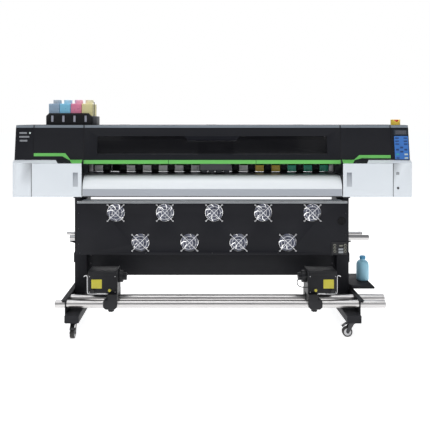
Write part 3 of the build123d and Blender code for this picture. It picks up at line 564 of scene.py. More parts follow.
def green_stripes(side, sign):
    """Black strip under one side cover, and the upper band, slanted link and lower band of its green line."""
    edge_strip(f"{side}_apron_trim", sign, INNER_X, STEP_X - STEP_RUN, APRON_LOW, SPLIT_Z + 0.001, 0.0012,
            0.00108, MATERIALS["black_cover"], "black_cover")
    band_low = 1.1300 if sign < 0 else 1.1175
    band_high = band_low + 0.0200
    outer = SEAM_X - 0.006
    upper = [(0.976, band_low), (outer, band_low), (outer, band_high), (0.958, band_high)]
    slant = [(0.921, SPLIT_Z), (0.9325, SPLIT_Z), (0.976, band_low), (0.958, band_high)]
    for part, outline in (("band", upper), ("link", slant)):
        points = outline if sign > 0 else [(-x, z) for x, z in reversed(outline)]
        on_face(f"{side}_green_{part}", points, 0.0014, 0.0016, GREEN)
    edge_strip(f"{side}_green_lower", sign, INNER_X + 0.003, 0.906, APRON_LOW + 0.0008, SPLIT_Z + 0.0012,
            0.0020, 0.0008, GREEN, "console_plastic")


def seam_gasket(name, sign, x):
    """Dark gasket that follows the covers' outline in the joint between two of them."""
    inset = 0.0016
    half = 0.0022
    deep = 0.002
    radius = 0.025
    line = [(face_y(SPLIT_Z) + inset, SPLIT_Z)]
    for k in range(7):
        a = radians(188 - 98 * k / 6)
        line.append((face_y(TOP_Z) + radius * 0.90 + (radius - inset) * cos(a),
                TOP_Z - radius + (radius - inset) * sin(a)))
    line.append((0.26, TOP_Z - inset))
    near, far = sign * (x - half), sign * (x + half)
    lofted(name, [[(near, y, z), (far, y, z), (far, y + deep, z - deep), (near, y + deep, z - deep)] for y,
            z in line], *SEAM)


def top_highlight_band(name, x0, x1, body):
    """Lighter strip along the upper edge of the black covers: a painted highlight for the light caught by
    their rounded top edge.
    """
    on_face(name, rectangle(x0, x1, TOP_Z - 0.0175, TOP_Z - 0.0006), 0.0008, 0.0006, EDGE_HIGHLIGHT_PAINT, body,
            "black_cover", 0.0006)


def black_covers():
    """Side covers, end caps and rear cover with their seams, green bands, painted highlight bands along the
    top edge and plain print bars.
    """
    refined("upper_covers", 0.0014, 2)
    refined("end_caps", 0.0014, 2)
    for x in (-SEAM_X, -INNER_X, INNER_X, SEAM_X):
        on_face(f"top_notch_{round(x * 1000)}", rectangle(x - 0.0032, x + 0.0032, TOP_Z - 0.0190,
                TOP_Z - 0.0004), 0.0010, 0.0006, *SEAM, 0.0002)
    refined("rear_cover", 0.0014, 2)
    for side, sign in SIDES:
        green_stripes(side, sign)
        seam_gasket(f"{side}_end_seam", sign, SEAM_X - 0.0005)
        seam_gasket(f"{side}_hood_seam", sign, INNER_X - 0.0015)
    # Painted highlight bands along the top edge of the end caps and side covers
    for sign in (-1, 1):
        for part, low, high in (("cap", SEAM_X + 0.0035, CAP_HIGH.x - 0.004),
                ("side", INNER_X + 0.003, SEAM_X - 0.0035)):
            top_highlight_band(f"{part}_top_band_{sign}", *sorted((sign * low, sign * high)), "root")
    for row, (z, low, high) in enumerate(((1.281, -1.262, -1.213), (1.256, -1.262, -1.196),
            (1.231, -1.258, -1.208))):
        on_face(f"plain_print_bar_{row}", rounded(low, high, z - 0.0055, z + 0.0055, 0.002), 0.0006, 0.0008,
                PRINT_GREY, bevel=0.0002)
    on_face("plain_print_dot", rounded(-1.199, -1.187, 1.275, 1.287, 0.0055), 0.0006, 0.0008, KEY_PALE,
            bevel=0.0002)
    rear_details()


def rear_details():
    """Back wall: louvres and a mains inlet."""
    back = COVER_HIGH.y
    for sign in (-1, 1):
        x0, x1 = sorted((sign * 0.90, sign * 1.12))
        for k in range(7):
            z = 1.16 + 0.018 * k
            chamfer_box(f"louvre_{sign}_{k}", (x0, back - 0.004, z), (x1, back + 0.0045, 1.168 + 0.018 * k),
                    0.002, *own("black_cover"))
    inlet_z = 0.94
    y = LOWER_HIGH.y
    flat_plate("mains_inlet", rounded(-1.02, -0.97, inlet_z - 0.014, inlet_z + 0.014, 0.004), y + 0.004, y,
            MATERIALS["black_plastic"], "root", "console_plastic", 0.0008)
    for x in (-1.008, -0.995, -0.982):
        pin = rounded(x - 0.001, x + 0.001, inlet_z - 0.004, inlet_z + 0.004, 0.0004, 2)
        flat_plate(f"inlet_pin_{round(-x * 1000)}", pin, y + 0.0052, y + 0.003, SCREW_STEEL, "root",
                "socket_metal", 0.0)


# ---- hood
HINGE_Y, HINGE_Z = 0.052, 1.3325


def hood_parts():
    """Hood and window, the three lengths of its green edge, and the barrels of its hinge."""
    refined("hood", 0.0012, 2)
    refined("hood_window", 0.0008, 2)
    # Painted highlight band along the hood's top edge
    top_highlight_band("hood_top_band", HOOD_LOW.x + 0.002, HOOD_HIGH.x - 0.002, "hood")
    edge_z = HOOD_LOW.z
    joints = [-HOOD_HIGH.x, -0.285, 0.285, HOOD_HIGH.x]
    gap = 0.0016
    for k, (x0, x1) in enumerate(zip(joints, joints[1:])):
        on_face(f"hood_green_{k}", rectangle(x0 + gap, x1 - gap, edge_z, edge_z + 0.0225), 0.0016, 0.0026,
                GREEN, "hood", bevel=0.0006)
        chamfer_box(f"hood_green_lip_{k}", (x0 + gap, face_y(edge_z) - 0.0016, edge_z - 0.0022),
                (x1 - gap, face_y(edge_z) + 0.010, edge_z), 0.0008, GREEN, "hood", "console_plastic")
    half = [(0.0026, 0.034), (0.0026, 0.012), (0.0022, 0.0115), (0.0026, 0.011)]
    barrel = [(0, -0.034)] + [(r, -h) for r, h in half] + half[::-1] + [(0, 0.034)]
    for x in (-0.60, 0.0, 0.60):
        chamfer_box(f"hood_hinge_leaf_{round(x * 100)}", (x - 0.035, HOOD_HIGH.y - 0.030, TOP_Z - 0.0005),
                (x + 0.035, HOOD_HIGH.y + 0.0005, TOP_Z + 0.0012), 0.0006, BLACK_SCREW, "hood", "frame_steel")
        lathe(f"hood_hinge_barrel_{round(x * 100)}", barrel, (x, HINGE_Y, HINGE_Z), "x", *BLACK_BOLT, turns=20)


# ---- media path
def media_path():
    """Apron, print deck and grit roller, with the apron's seams, a grey sheet of painted shade on its skirt,
    and its lip.
    """
    refined("front_platen", 0.0008, 2)
    refined("print_platen", 0.0006, 2)
    for node in ("grit_roller", "side_frames"):
        refined(node, 0.0005, 1)
    for x in (-0.285, 0.285):
        flat_plate(f"apron_seam_{round(x * 1000)}", rectangle(x - 0.0008, x + 0.0008, 0.873, 0.917),
                PLATEN_LOW.y - 0.0003, PLATEN_LOW.y + 0.0005, *SEAM, 0.0)
    # Grey sheet over the apron's lower part: painted shade, not the apron's own colour
    skirt = rounded(PLATEN_LOW.x + 0.002, PLATEN_HIGH.x - 0.002, PLATEN_LOW.z + 0.004, PLATEN_LOW.z + 0.050,
            0.001, 2)
    flat_plate("apron_skirt_painted_shade", skirt, PLATEN_LOW.y - 0.0004, PLATEN_LOW.y + 0.0002, SKIRT_PAINTED_SHADE, "root",
            "platen_white", 0.0)
    chamfer_box("apron_lip", (PLATEN_LOW.x, PLATEN_LOW.y - 0.0004, PLATEN_LOW.z - 0.0015),
            (PLATEN_HIGH.x, PLATEN_LOW.y + 0.02, PLATEN_LOW.z + 0.004), 0.0006, *SEAM)
    pinch_units()


PINCH_COUNT = 14
PINCH_LOW, PINCH_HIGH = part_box("pinch_rollers")
PINCH_PITCH = (PINCH_HIGH.x - PINCH_LOW.x - 0.047) / (PINCH_COUNT - 1)
PINCH_Z = (PINCH_LOW.z + PINCH_HIGH.z) / 2
PINCH_Y = (PINCH_LOW.y + PINCH_HIGH.y) / 2


def pinch_units():
    """Fourteen bell-shaped arms, their rollers and bright springs, and the guide plates between them."""
    refined("pinch_arms", 0.0010, 2)
    shades = {9: PLATE_AMBER, 10: PLATE_AMBER, 11: PLATE_TEAL, 12: PLATE_TEAL, 13: PLATE_TEAL}
    middle = (PINCH_COUNT - 1) / 2
    z0 = 1.0155
    for k in [-1] + list(range(1, PINCH_COUNT)):
        shade = (shades.get(k, PLATE_SILVER), "root", "deck_aluminium")
        x = (k + 0.5 - middle) * PINCH_PITCH
        chamfer_box(f"guide_plate_{k}", (x - 0.029, 0.020, z0), (x + 0.029, 0.022, z0 + 0.040), 0.0006,
                *shade)
        chamfer_box(f"guide_lip_{k}", (x - 0.028, 0.012, z0 - 0.0008), (x + 0.028, 0.0205, z0 + 0.0008),
                0.0004, *shade)
        for dx in (-0.014, 0.012):
            chamfer_box(f"guide_rib_{k}_{round(dx * 1000)}", (x + dx - 0.003, 0.0175, z0 + 0.001),
                    (x + dx + 0.003, 0.0205, z0 + 0.030), 0.0008, *shade)
    chamfer_box("channel_flap", (-0.828, 0.1120, 1.0065), (0.828, 0.1135, 1.1190), 0.0004, HOLE_BLACK, "root",
            "roller_rubber")
    tyres = []
    springs = []
    caps = []
    half = [(0.002, 0.0235), (0.002, 0.0172), (0.0075, 0.017), (0.0088, 0.0155), (0.009, 0.0135)]
    tyre = [(0, -0.0235)] + [(r, -h) for r, h in half] + half[::-1] + [(0, 0.0235)]
    for k in range(PINCH_COUNT):
        x = (k - middle) * PINCH_PITCH
        tyres.append(lathe(f"pinch_tyre_{k}", tyre, (x, PINCH_Y, PINCH_Z), "x",
                *own("roller_rubber", "pinch_rollers"), turns=32))
        coil = []
        for step in range(61):
            a = 2 * pi * step / 10
            coil.append(Vector((x + 0.030 + 0.0045 * cos(a), 0.055 + 0.0045 * sin(a),
                    1.020 + 0.040 * step / 60)))
        springs.append(spring_mesh(f"pinch_spring_{k}", coil, 0.0009))
        caps.append(lathe(f"pinch_cap_{k}", [(0, 0), (0.008, 0), (0.008, 0.003), (0.0065, 0.0045),
                (0, 0.0045)], (x, 0.024, 1.063), "y", BLACK_SCREW, "pinch_arms", "black_plastic", turns=20))
    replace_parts(joined("pinch_tyres", tyres), "pinch_rollers")
    joined("pinch_springs", springs)
    joined("pinch_caps", caps)


def spring_mesh(name, points, radius, sides=6):
    """A thin round wire swept along points, as a mesh."""
    rows = []
    for i, p in enumerate(points):
        along = (points[min(i + 1, len(points) - 1)] - points[max(i - 1, 0)]).normalized()
        across = along.cross(Vector((0.13, 0.31, 0.94))).normalized()
        up = along.cross(across)
        rows.append([p + radius * (across * cos(2 * pi * s / sides) + up * sin(2 * pi * s / sides))
                for s in range(sides)])
    return lofted(name, rows, *own("guard_wire", "pinch_arms"))


# ---- print head
def print_drive():
    refined("head_beam", 0.0006, 1)
    refined("drive_motor", 0.0008, 1)
    refined("drive_belt", 0.0)
    refined("motor_pulley", 0.0004, 1)
    refined("idler_pulley", 0.0004, 1)
    refined("carriage", 0.0025, 3, material=CARRIAGE_GREY)
    low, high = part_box("carriage")
    mid = (low.x + high.x) / 2
    flat_plate("carriage_badge", rounded(mid - 0.055, mid + 0.055, 1.165, 1.205, 0.006), low.y - 0.0015,
            low.y + 0.001, PLATE_GREY, "carriage", "console_plastic", 0.0006)
    for k in range(4):
        x = low.x + 0.043 + 0.050 * k
        wire(f"damper_line_{k}", [(x, -0.02, high.z - 0.001), (x, -0.02, high.z + 0.006),
                (x + 0.004, -0.008, high.z + 0.0085), (x + 0.008, 0.006, high.z + 0.007),
                (x + 0.008, 0.010, high.z - 0.001)], 0.0016, *own("cap_plastic", "carriage"))
    screws("carriage_screws", [(mid + sx * 0.105, low.y, z) for sx in (-1, 1) for z in (1.125, 1.235)], "y",
            0.003, SCREW_STEEL, "carriage", "frame_steel")


# ---- stand
def stand():
    """Legs, feet, beam, rails and supply shaft, with their screws and the catches that hold the shaft."""
    for node, width, segments in (("legs", 0.0022, 3), ("feet", 0.0008, 1), ("cross_beam", 0.0016, 2),
            ("stand_brackets", 0.0008, 1), ("stand_tubes", 0.0008, 1), ("feed_shaft", 0.0008, 1)):
        refined(node, width, segments)
    for sign in (-1, 1):
        outline = [(0.9272, 0.483), (1.0272, 0.483), (1.0272, 0.479), (0.9312, 0.449), (0.9272, 0.449)]
        flat_plate(f"shaft_catch_{sign}", [(sign * x, z) for x, z in outline], 0.262, 0.278,
                *own("stand_paint"), 0.0008)
    leg_x = FOOT_HIGH.x - 0.045
    screws("leg_bolts", [(sign * leg_x + dx, -0.076, z) for sign in (-1, 1) for dx in (-0.025, 0.025)
            for z in (0.180, 0.205)], "y", 0.0065, *BLACK_BOLT)
    beam_low, beam_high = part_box("cross_beam")
    screws("beam_bolts", [(sign * (beam_high.x - 0.022), beam_low.y, z) for sign in (-1, 1)
            for z in (0.34, 0.40, 0.455)], "y", 0.006, *BLACK_BOLT)
    screws("bracket_bolts", [(sign * 0.930, y, z) for sign in (-1, 1) for y in (-0.05, 0.05)
            for z in (0.135, 0.20)], "x", 0.0055, SCREW_STEEL, "root", "frame_steel")


# ---- fans
FANS = [(x, 0.762) for x in (-0.628, -0.308, 0.012, 0.332, 0.652)]
FANS += [(x, 0.568) for x in (-0.468, -0.148, 0.172, 0.492)]


def fan_rotor(number, x, z):
    """Hub with seven swept blades that twist from root to tip."""
    node = f"fan_rotor_{number}"
    low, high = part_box(node)
    y0 = low.y
    y1 = high.y - 0.0045
    hub = 0.020
    tip = 0.0555
    turns = 40
    bm = bmesh.new()

    def at(radius, angle, y):
        return bm.verts.new((x + radius * cos(angle), y, z + radius * sin(angle)))
    profile = [(0, y0), (hub * 0.80, y0), (hub * 0.97, y0 + 0.0008), (hub, y0 + 0.0022), (hub, y1),
            (0.003, y1), (0.003, high.y), (0, high.y)]
    skin(bm, [[at(radius, 2 * pi * k / turns, y) for k in range(turns if radius else 1)] for radius,
            y in profile], ends=False)
    blades = 7
    spans = 6
    chords = 6
    thick = 0.0011
    for blade in range(blades):
        start = 2 * pi * blade / blades + 0.35 * number
        front = []
        back = []
        for i in range(spans + 1):
            share = i / spans
            radius = hub - 0.001 + (tip - hub + 0.001) * share
            for side, grid in ((-1, front), (1, back)):
                row = []
                for c in range(chords + 1):
                    u = c / chords - 0.5
                    angle = start + 0.42 * share * share + (0.84 - 0.06 * share) * u
                    camber = 0.0016 * (1 - 4 * u * u)
                    y = (y0 + y1) / 2 + (0.0150 - 0.0035 * share) * u + camber
                    y += side * thick * (0.35 + 0.65 * (1 - abs(2 * u) ** 3))
                    row.append(at(radius, angle, y))
                grid.append(row)
        for i in range(spans):
            for c in range(chords):
                bm.faces.new((front[i][c], front[i][c + 1], front[i + 1][c + 1], front[i + 1][c]))
                bm.faces.new((back[i][c], back[i + 1][c], back[i + 1][c + 1], back[i][c + 1]))
            bm.faces.new((front[i][0], front[i + 1][0], back[i + 1][0], back[i][0]))
            bm.faces.new((front[i][chords], back[i][chords], back[i + 1][chords], front[i + 1][chords]))
        for c in range(chords):
            bm.faces.new((front[0][c], back[0][c], back[0][c + 1], front[0][c + 1]))
            bm.faces.new((front[spans][c], front[spans][c + 1], back[spans][c + 1], back[spans][c]))
    rotor = dress(from_bmesh(f"{node}_blades", bm), *own("rotor_plastic", node), smooth=50)
    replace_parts(rotor, node)


def fans():
    refined("fan_panel", 0.0008, 2)
    refined("fan_housings", 0.0008, 1)
    refined("fan_guards", 0.0)
    for number, (x, z) in enumerate(FANS, start=1):
        fan_rotor(number, x, z)
    corner = 0.0525       # from a fan's middle to its screws, each way
    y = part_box("fan_guards")[0].y
    screws("guard_screws", [(x + sx * corner, y, z + sz * corner) for x, z in FANS for sx in (-1, 1)
            for sz in (-1, 1)], "y", 0.0042, SCREW_STEEL, "root", "guard_wire")
    grommet()
    sockets()
    chamfer_box("panel_top_lip", (PANEL_LOW.x + 0.002, PANEL_LOW.y + 0.0006, PANEL_HIGH.z - 0.0030),
            (PANEL_HIGH.x - 0.002, PANEL_LOW.y + 0.0125, PANEL_HIGH.z + 0.0014), 0.0005, PLATE_SILVER, "root",
            "deck_aluminium")
    chamfer_box("panel_top_edge", (PANEL_LOW.x + 0.002, PANEL_LOW.y - 0.0006, PANEL_HIGH.z - 0.0120),
            (PANEL_HIGH.x - 0.002, PANEL_LOW.y + 0.0004, PANEL_HIGH.z - 0.0034), 0.0003, *BLANK_PLATE)
    chamfer_box("panel_top_strip", (PANEL_LOW.x + 0.030, PANEL_LOW.y + 0.0130, PANEL_HIGH.z - 0.0002),
            (PANEL_HIGH.x - 0.030, PANEL_HIGH.y - 0.004, PANEL_HIGH.z + 0.0010), 0.0004, PLATE_GREY, "root",
            "deck_aluminium")
    edge_x = [-0.86, -0.43, 0.0, 0.43]
    screws("panel_screws", [(x, PANEL_LOW.y, PANEL_LOW.z + 0.012)
            for x in edge_x] + [(-0.868, PANEL_LOW.y, z) for z in (0.56, 0.66, 0.76)] + [(0.868, PANEL_LOW.y,
            z) for z in (0.62, 0.76)], "y", 0.0035, *BLACK_BOLT)


def grommet():
    """Rubber cable grommet with a membrane across its middle."""
    lathe("cable_grommet", [(0, 0.0012), (0.003, 0.0012), (0.006, 0.0016), (0.016, 0.0016), (0.019, 0.0022),
            (0.0215, 0.0048), (0.0245, 0.0050), (0.0265, 0.0030), (0.0265, 0)], (0.842, PANEL_LOW.y, 0.709),
            "y", *own("roller_rubber"), turns=40)


def sockets():
    """Outlet plate: six round screw-ring sockets, a bright rocker and two blank plates."""
    refined("socket_panel", 0.0006, 2, material=MATERIALS["black_plastic"])
    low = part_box("socket_panel")[0]
    plate = low.y + 0.006
    metal = own("socket_metal")
    rings = []
    cores = []
    pins = []
    for x in (0.795, 0.863):
        for z in (0.553, 0.534, 0.514):
            rings.append(lathe("socket_ring", [(0.0088, 0), (0.0088, 0.0035), (0.0080, 0.0042),
                    (0.0080, 0.0062), (0.0074, 0.0069), (0.0058, 0.0069), (0.0055, 0.0060)], (x, plate, z),
                    "y", *metal, turns=28))
            cores.append(lathe("socket_core", [(0, 0.0063), (0.0056, 0.0063)], (x, plate, z), "y",
                    *own("fan_plastic"), turns=20))
            for k in range(4):
                a = pi / 4 + pi / 2 * k
                pins.append(lathe("socket_pin", [(0, 0.0069), (0.0007, 0.0069), (0.0007, 0.0062)],
                        (x + 0.0028 * cos(a), plate, z + 0.0028 * sin(a)), "y", *metal, turns=8))
    joined("socket_rings", rings)
    joined("socket_cores", cores)
    joined("socket_pins", pins)
    flat_plate("outlet_rocker", rounded(0.824, 0.847, 0.5465, 0.5555, 0.0012), low.y, low.y + 0.003, *metal,
            0.0008)
    for z in (0.526, 0.508):
        flat_plate(f"outlet_blank_{round(z * 1000)}", rounded(0.820, 0.851, z - 0.006, z + 0.006, 0.001),
                plate - 0.002, plate, *BLANK_PLATE, 0.0006)


# ---- take-up units
BOX_OUT = 0.787           # outer face of a take-up box, from the middle of the machine
BOX_IN = 0.609


def take_up_details(side, sign):
    """Yellow label, power button, speed knob, lid line, screws and sensor wire on one motor box."""
    front = -0.280
    body = f"{side}_take_up"
    mid = sign * (BOX_IN + BOX_OUT) / 2
    spot = sign * 0.734
    flat_plate(f"{side}_plain_label", rounded(spot - 0.033, spot + 0.033, 0.300, 0.357, 0.003),
            front - 0.0012, front, LABEL, body, "fan_plastic", 0.0003)
    button = (sign * 0.6515, front, 0.289)
    lathe(f"{side}_power_button", [(0.0125, 0), (0.0125, 0.003), (0.0105, 0.004), (0.0095, 0.004)], button,
            "y", BLACK_SCREW, body, "frame_steel", turns=32)
    lathe(f"{side}_power_cap", [(0.0095, 0), (0.0095, 0.006), (0.0085, 0.0078), (0.004, 0.0086), (0, 0.0088)],
            button, "y", LABEL, body, "fan_plastic", turns=32)
    lathe(f"{side}_speed_knob", [(0.013, 0), (0.013, 0.002), (0.0105, 0.003), (0.0095, 0.012),
            (0.0085, 0.0135), (0, 0.0135)], (sign * 0.755, front, 0.2855), "y", *own("black_plastic", body),
            turns=32)
    flat_plate(f"{side}_lid_line", rounded(mid - 0.085, mid + 0.085, 0.3845, 0.3865, 0.0008, 2),
            front - 0.0004, front + 0.0006, SEAM_BLACK, body, "roller_rubber", 0.0)
    corners = [(sign * x, front, z) for x in (0.617, 0.779) for z in (0.277, 0.376)]
    screws(f"{side}_box_screws", corners, "y", 0.0032, SCREW_STEEL, body, "frame_steel")
    out = 0.795 if sign < 0 else 0.791
    route = [(out + 0.022, 0.372), (out + 0.016, 0.3775), (out + 0.006, 0.3785), (out + 0.001, 0.374),
            (out, 0.360), (out, 0.275), (out - 0.002, 0.2665), (out - 0.010, 0.2625), (out - 0.024, 0.2620),
            (0.661, 0.2620)]
    wire(f"{side}_sensor_wire", [(sign * x, -0.268, z) for x, z in route], 0.0026, *own("guard_wire", body))


def take_ups():
    for side, sign in SIDES:
        refined(f"{side}_take_up", 0.0030, 3)
        refined(f"{side}_chuck", 0.0012, 2)
        refined(f"{side}_clamp_knob", 0.0008, 2)
        take_up_details(side, sign)
    take_up_cable()


# ---- casters
def casters():
    """Forks, brake pedals and wheels with a steel hub disc on each side."""
    for place in ("front_left", "front_right", "rear_left", "rear_right"):
        refined(f"{place}_caster_fork", 0.0006, 2)
        refined(f"{place}_caster_wheel", 0.0014, 3)
        low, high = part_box(f"{place}_caster_wheel")
        centre = (low + high) / 2
        rolls_along_y = high.y - low.y > high.x - low.x
        half = (high.x - low.x) / 2 if rolls_along_y else (high.y - low.y) / 2
        axis = "x" if rolls_along_y else "y"
        profile = [(0.0052, half - 0.0004), (0.0090, half - 0.0004), (0.0090, half - 0.0012),
                (0.0205, half - 0.0012), (0.0205, half + 0.0004), (0.0225, half + 0.0004),
                (0.0235, half - 0.0006)]
        for way, direction in (("out", axis), ("in", "-" + axis)):
            lathe(f"{place}_hub_{way}", profile, centre, direction, SCREW_STEEL, f"{place}_wheel",
                    "frame_steel", turns=32)


# ---- ink supply
TANK_TINTS = [
    ("tank_slate", (0.34, 0.47, 0.62), (0.50, 0.56, 0.62)),
    ("tank_blue", (0.27, 0.68, 0.94), (0.52, 0.78, 0.92)),
    ("tank_pink", (0.90, 0.28, 0.45), (0.90, 0.52, 0.66)),
    ("tank_yellow", (0.92, 0.84, 0.44), (0.92, 0.88, 0.64)),
]
TANK_X = [TRAY_LOW.x + (158 + 77 * (k - 1.5)) * MM for k in range(4)]


INK_TRAY_FRONT = 0.0638
TANK_REACH = 0.0384      # faces this near to a tank's middle belong to it


def keep_near(x, half):
    return lambda centre: abs(centre.x - x) < half


def ink_supply():
    refined("ink_tray", 0.0012, 2)
    for k, (x, (name, colour, cap_colour)) in enumerate(zip(TANK_X, TANK_TINTS)):
        tank = finish(name, colour, 0.32, vary=0.05, patch=18, grain=500, bump=0.05, transmission=0.15)
        cap = finish(name + "_cap", cap_colour, 0.38, vary=0.04, patch=30, grain=700, bump=0.05)
        body = refined("ink_tanks", 0.0030, 3, material=tank, keep=keep_near(x, TANK_REACH))
        body.name = f"ink_tank_{k + 1}_shell"
        lid = refined("ink_caps", 0.0010, 2, material=cap, keep=keep_near(x, TANK_REACH))
        lid.name = f"ink_cap_{k + 1}_shell"
        # Pale pane behind each slot: painted light for the lit tank seen through it
        flat_plate(f"ink_level_{k + 1}", rounded(x - 0.0095, x + 0.0095, 1.351, 1.399, 0.002), INK_TRAY_FRONT,
                INK_TRAY_FRONT + 0.0009, LEVEL_PAINTED_LIGHT, "root", "tank_plastic", 0.0)
    chamfer_box("ink_line_cover", (TRAY_HIGH.x + 0.0003, 0.080, TOP_Z),
            (TRAY_HIGH.x + 0.031, 0.200, TOP_Z + 0.059), 0.003, LINE_COVER, "root", "black_plastic")
    lathe("ink_line_rod", [(0, 0), (0.0028, 0), (0.0028, 0.150), (0.0036, 0.151), (0.0036, 0.156),
            (0, 0.156)], (TRAY_HIGH.x + 0.0065, 0.120, TOP_Z + 0.002), "z", BLACK_SCREW, "root",
            "black_plastic", turns=20)


# ---- console and stop button
def console():
    """Membrane panel with a display, plain keys and no lettering."""
    refined("control_panel", 0.0010, 2, keep=lambda centre: centre.z < TOP_Z - 0.001)
    x0 = 1.189
    x1 = 1.280
    on_face("display_bezel", rounded(x0, x1, 1.268, 1.301, 0.003), 0.0052, 0.002, SCREEN, bevel=0.0006)
    on_face("display_field", rounded(x0 + 0.010, x1 - 0.010, 1.273, 1.297, 0.002), 0.0055, 0.0005,
            SCREEN_FACE, bevel=0.0002)
    on_face("keypad", rounded(x0, x1, 1.110, 1.261, 0.004), 0.0052, 0.002, KEYPAD, bevel=0.0006)
    keys = [(share, z, 0.024, 0.0085, KEY_DARK) for z in (1.248, 1.228, 1.209) for share in (0.20, 0.80)]
    keys += [(0.50, z, 0.020, 0.0110, KEY_DARK) for z in (1.187, 1.160)]
    keys += [(share, 1.173, 0.020, 0.0110, KEY_DARK) for share in (0.20, 0.80)]
    keys += [(0.20, 1.143, 0.020, 0.0090, KEY_GREEN), (0.80, 1.143, 0.022, 0.0100, KEY_PALE),
            (0.80, 1.119, 0.022, 0.0100, KEY_PALE), (0.20, 1.119, 0.020, 0.0090, KEY_DARK)]
    for number, (share, z, wide, tall, colour) in enumerate(keys):
        x = x0 + share * (x1 - x0)
        on_face(f"key_{number}", rounded(x - wide / 2, x + wide / 2, z - tall / 2, z + tall / 2, 0.0025),
                0.0062, 0.0012, colour)


STOP_LOW, STOP_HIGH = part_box("estop_button")
STOP_X = (STOP_LOW.x + STOP_HIGH.x) / 2
STOP_Y = (STOP_LOW.y + STOP_HIGH.y) / 2


def stop_button():
    """Yellow guard ring, dished at the front, round a red mushroom button."""
    refined("estop_button", 0.0006, 2)
    turns = 96
    wall = [(0.0272, 0.004), (0.0272, 1.0), (0.0280, 1.04), (0.0298, 1.04), (0.0308, 1.0), (0.0310, 0.0)]
    base = TOP_Z
    bm = bmesh.new()
    columns = []
    for k in range(turns):
        angle = 2 * pi * k / turns
        aside = abs(degrees(angle) - 270)
        dish = max(0.0, 1 - aside / 46) ** 0.8
        rim = 0.0365 - 0.019 * dish
        column = []
        for radius, share in wall:
            height = share if share < 0.01 else rim - 0.0012 + 0.0012 * (share - 1.0) / 0.04
            column.append(bm.verts.new((STOP_X + radius * cos(angle), STOP_Y + radius * sin(angle),
                    base + height)))
        columns.append(column)
    for k in range(turns):
        here = columns[k]
        there = columns[(k + 1) % turns]
        for i in range(len(wall) - 1):
            bm.faces.new((here[i], there[i], there[i + 1], here[i + 1]))
    dress(from_bmesh("stop_guard", bm), YELLOW, "root", "stop_red")
    lathe("stop_collar", [(0.0272, 0.0042), (0.0145, 0.0042), (0.0130, 0.0060), (0.0125, 0.0105),
            (0.0108, 0.0135), (0.0056, 0.0138)], (STOP_X, STOP_Y, base), "z", YELLOW, "root", "stop_red",
            turns=48)


def bottle():
    """Round-shouldered bottle with a ribbed cap."""
    low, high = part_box("waste_bottle")
    centre = ((low.x + high.x) / 2, (low.y + high.y) / 2, low.z)
    wall = [(0, 0.004), (0.028, 0.004), (0.032, 0), (0.037, 0.0), (0.0405, 0.002), (0.042, 0.007),
            (0.042, 0.100)]
    for k in range(1, 9):
        a = radians(90 * k / 8)
        wall.append((0.020 + 0.022 * cos(a), 0.100 + 0.034 * sin(a)))
    wall += [(0.018, 0.137), (0.018, 0.1448)]
    body = lathe("bottle_body", wall, centre, "z", *own("bottle_plastic", "waste_bottle"), turns=64,
            smooth=50)
    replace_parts(body, "waste_bottle")
    lathe("bottle_cap", [(0.0165, 0.1445), (0.0200, 0.1450), (0.0202, 0.1475), (0.0196, 0.1480),
            (0.0196, 0.1625), (0.0185, 0.1642), (0.0165, 0.1647), (0, 0.1647)], centre, "z", BOTTLE_CAP,
            "waste_bottle", "bottle_plastic", turns=48, smooth=50)
    ribs = []
    for k in range(30):
        a = 2 * pi * k / 30
        ribs.append(lathe(f"cap_rib_{k}", [(0, 0.1485), (0.0007, 0.1485), (0.0007, 0.1618), (0, 0.1620)],
                (centre[0] + 0.0196 * cos(a), centre[1] + 0.0196 * sin(a), centre[2]), "z", BOTTLE_CAP,
                "waste_bottle", "bottle_plastic", turns=6))
    joined("bottle_cap_ribs", ribs)


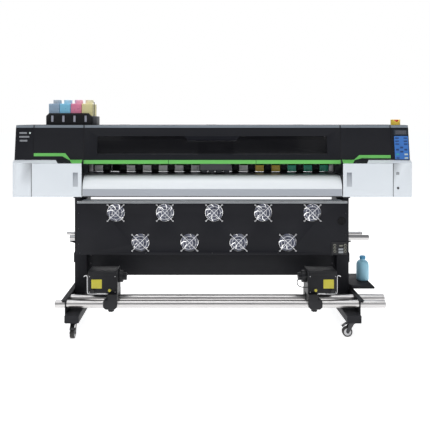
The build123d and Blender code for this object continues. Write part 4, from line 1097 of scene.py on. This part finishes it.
# ---- floor, light and assembly
def stage():
    """Pale floor under the machine, bright enough to merge with the backdrop."""
    mesh = bpy.data.meshes.new("floor")
    size = 60.0
    mesh.from_pydata([(-size, -size, 0), (size, -size, 0), (size, size, 0), (-size, size, 0)], [],
            [(0, 1, 2, 3)])
    floor = link(bpy.data.objects.new("floor", mesh))
    mat, tree, shader, coords = node_tree("pale_floor")
    drift = noise(tree, coords, 0.6, 2.0)
    base = ramp(tree, drift.outputs["Fac"], [(NOISE_LOW, (0.86, 0.86, 0.86)),
            (NOISE_HIGH, (0.88, 0.88, 0.88))])
    tree.links.new(base.outputs["Color"], shader.inputs["Base Color"])
    put(shader, {"Roughness": 0.9, "Specular IOR Level": 0.05, "Emission Color": (1.0, 1.0, 1.0, 1.0),
            "Emission Strength": 0.75})
    floor.data.materials.append(mat)


def area_light(name, place, power, size, size_y):
    """A soft rectangular lamp aimed at the middle of the machine."""
    data = bpy.data.lights.new(name, "AREA")
    data.shape = "RECTANGLE"
    data.size = size
    data.size_y = size_y
    data.energy = power
    lamp = link(bpy.data.objects.new(name, data))
    lamp.location = place
    lamp.rotation_euler = (Vector((0, 0, 0.9)) - Vector(place)).to_track_quat("-Z", "Y").to_euler()


def lights():
    """White backdrop for the camera, a softer room for the object, and large soft lamps."""
    world = bpy.data.worlds.new("studio")
    world.use_nodes = True
    tree = world.node_tree
    room = tree.nodes["Background"]
    put(room, {"Color": (0.93, 0.96, 1.0, 1.0), "Strength": 0.30})
    backdrop = tree.nodes.new("ShaderNodeBackground")
    put(backdrop, {"Color": (1.0, 1.0, 1.0, 1.0), "Strength": 1.0})
    path = tree.nodes.new("ShaderNodeLightPath")
    either = tree.nodes.new("ShaderNodeMixShader")
    tree.links.new(path.outputs["Is Camera Ray"], either.inputs["Fac"])
    tree.links.new(room.outputs["Background"], either.inputs[1])
    tree.links.new(backdrop.outputs["Background"], either.inputs[2])
    tree.links.new(either.outputs["Shader"], tree.nodes["World Output"].inputs["Surface"])
    bpy.context.scene.world = world
    bpy.context.scene.view_settings.view_transform = "Standard"
    area_light("overhead", (0.0, -1.0, 4.2), 90, 5.0, 3.0)
    area_light("front_left", (-3.4, -4.2, 3.4), 15, 2.4, 2.4)
    area_light("front_right", (3.4, -4.2, 3.4), 12, 2.4, 2.4)
    area_light("behind", (0.0, 4.2, 3.4), 110, 4.5, 2.4)


def build():
    place_camera()
    white_cabinets()
    black_covers()
    hood_parts()
    media_path()
    print_drive()
    stand()
    fans()
    take_ups()
    casters()
    ink_supply()
    console()
    stop_button()
    bottle()
    stage()
    lights()


build()
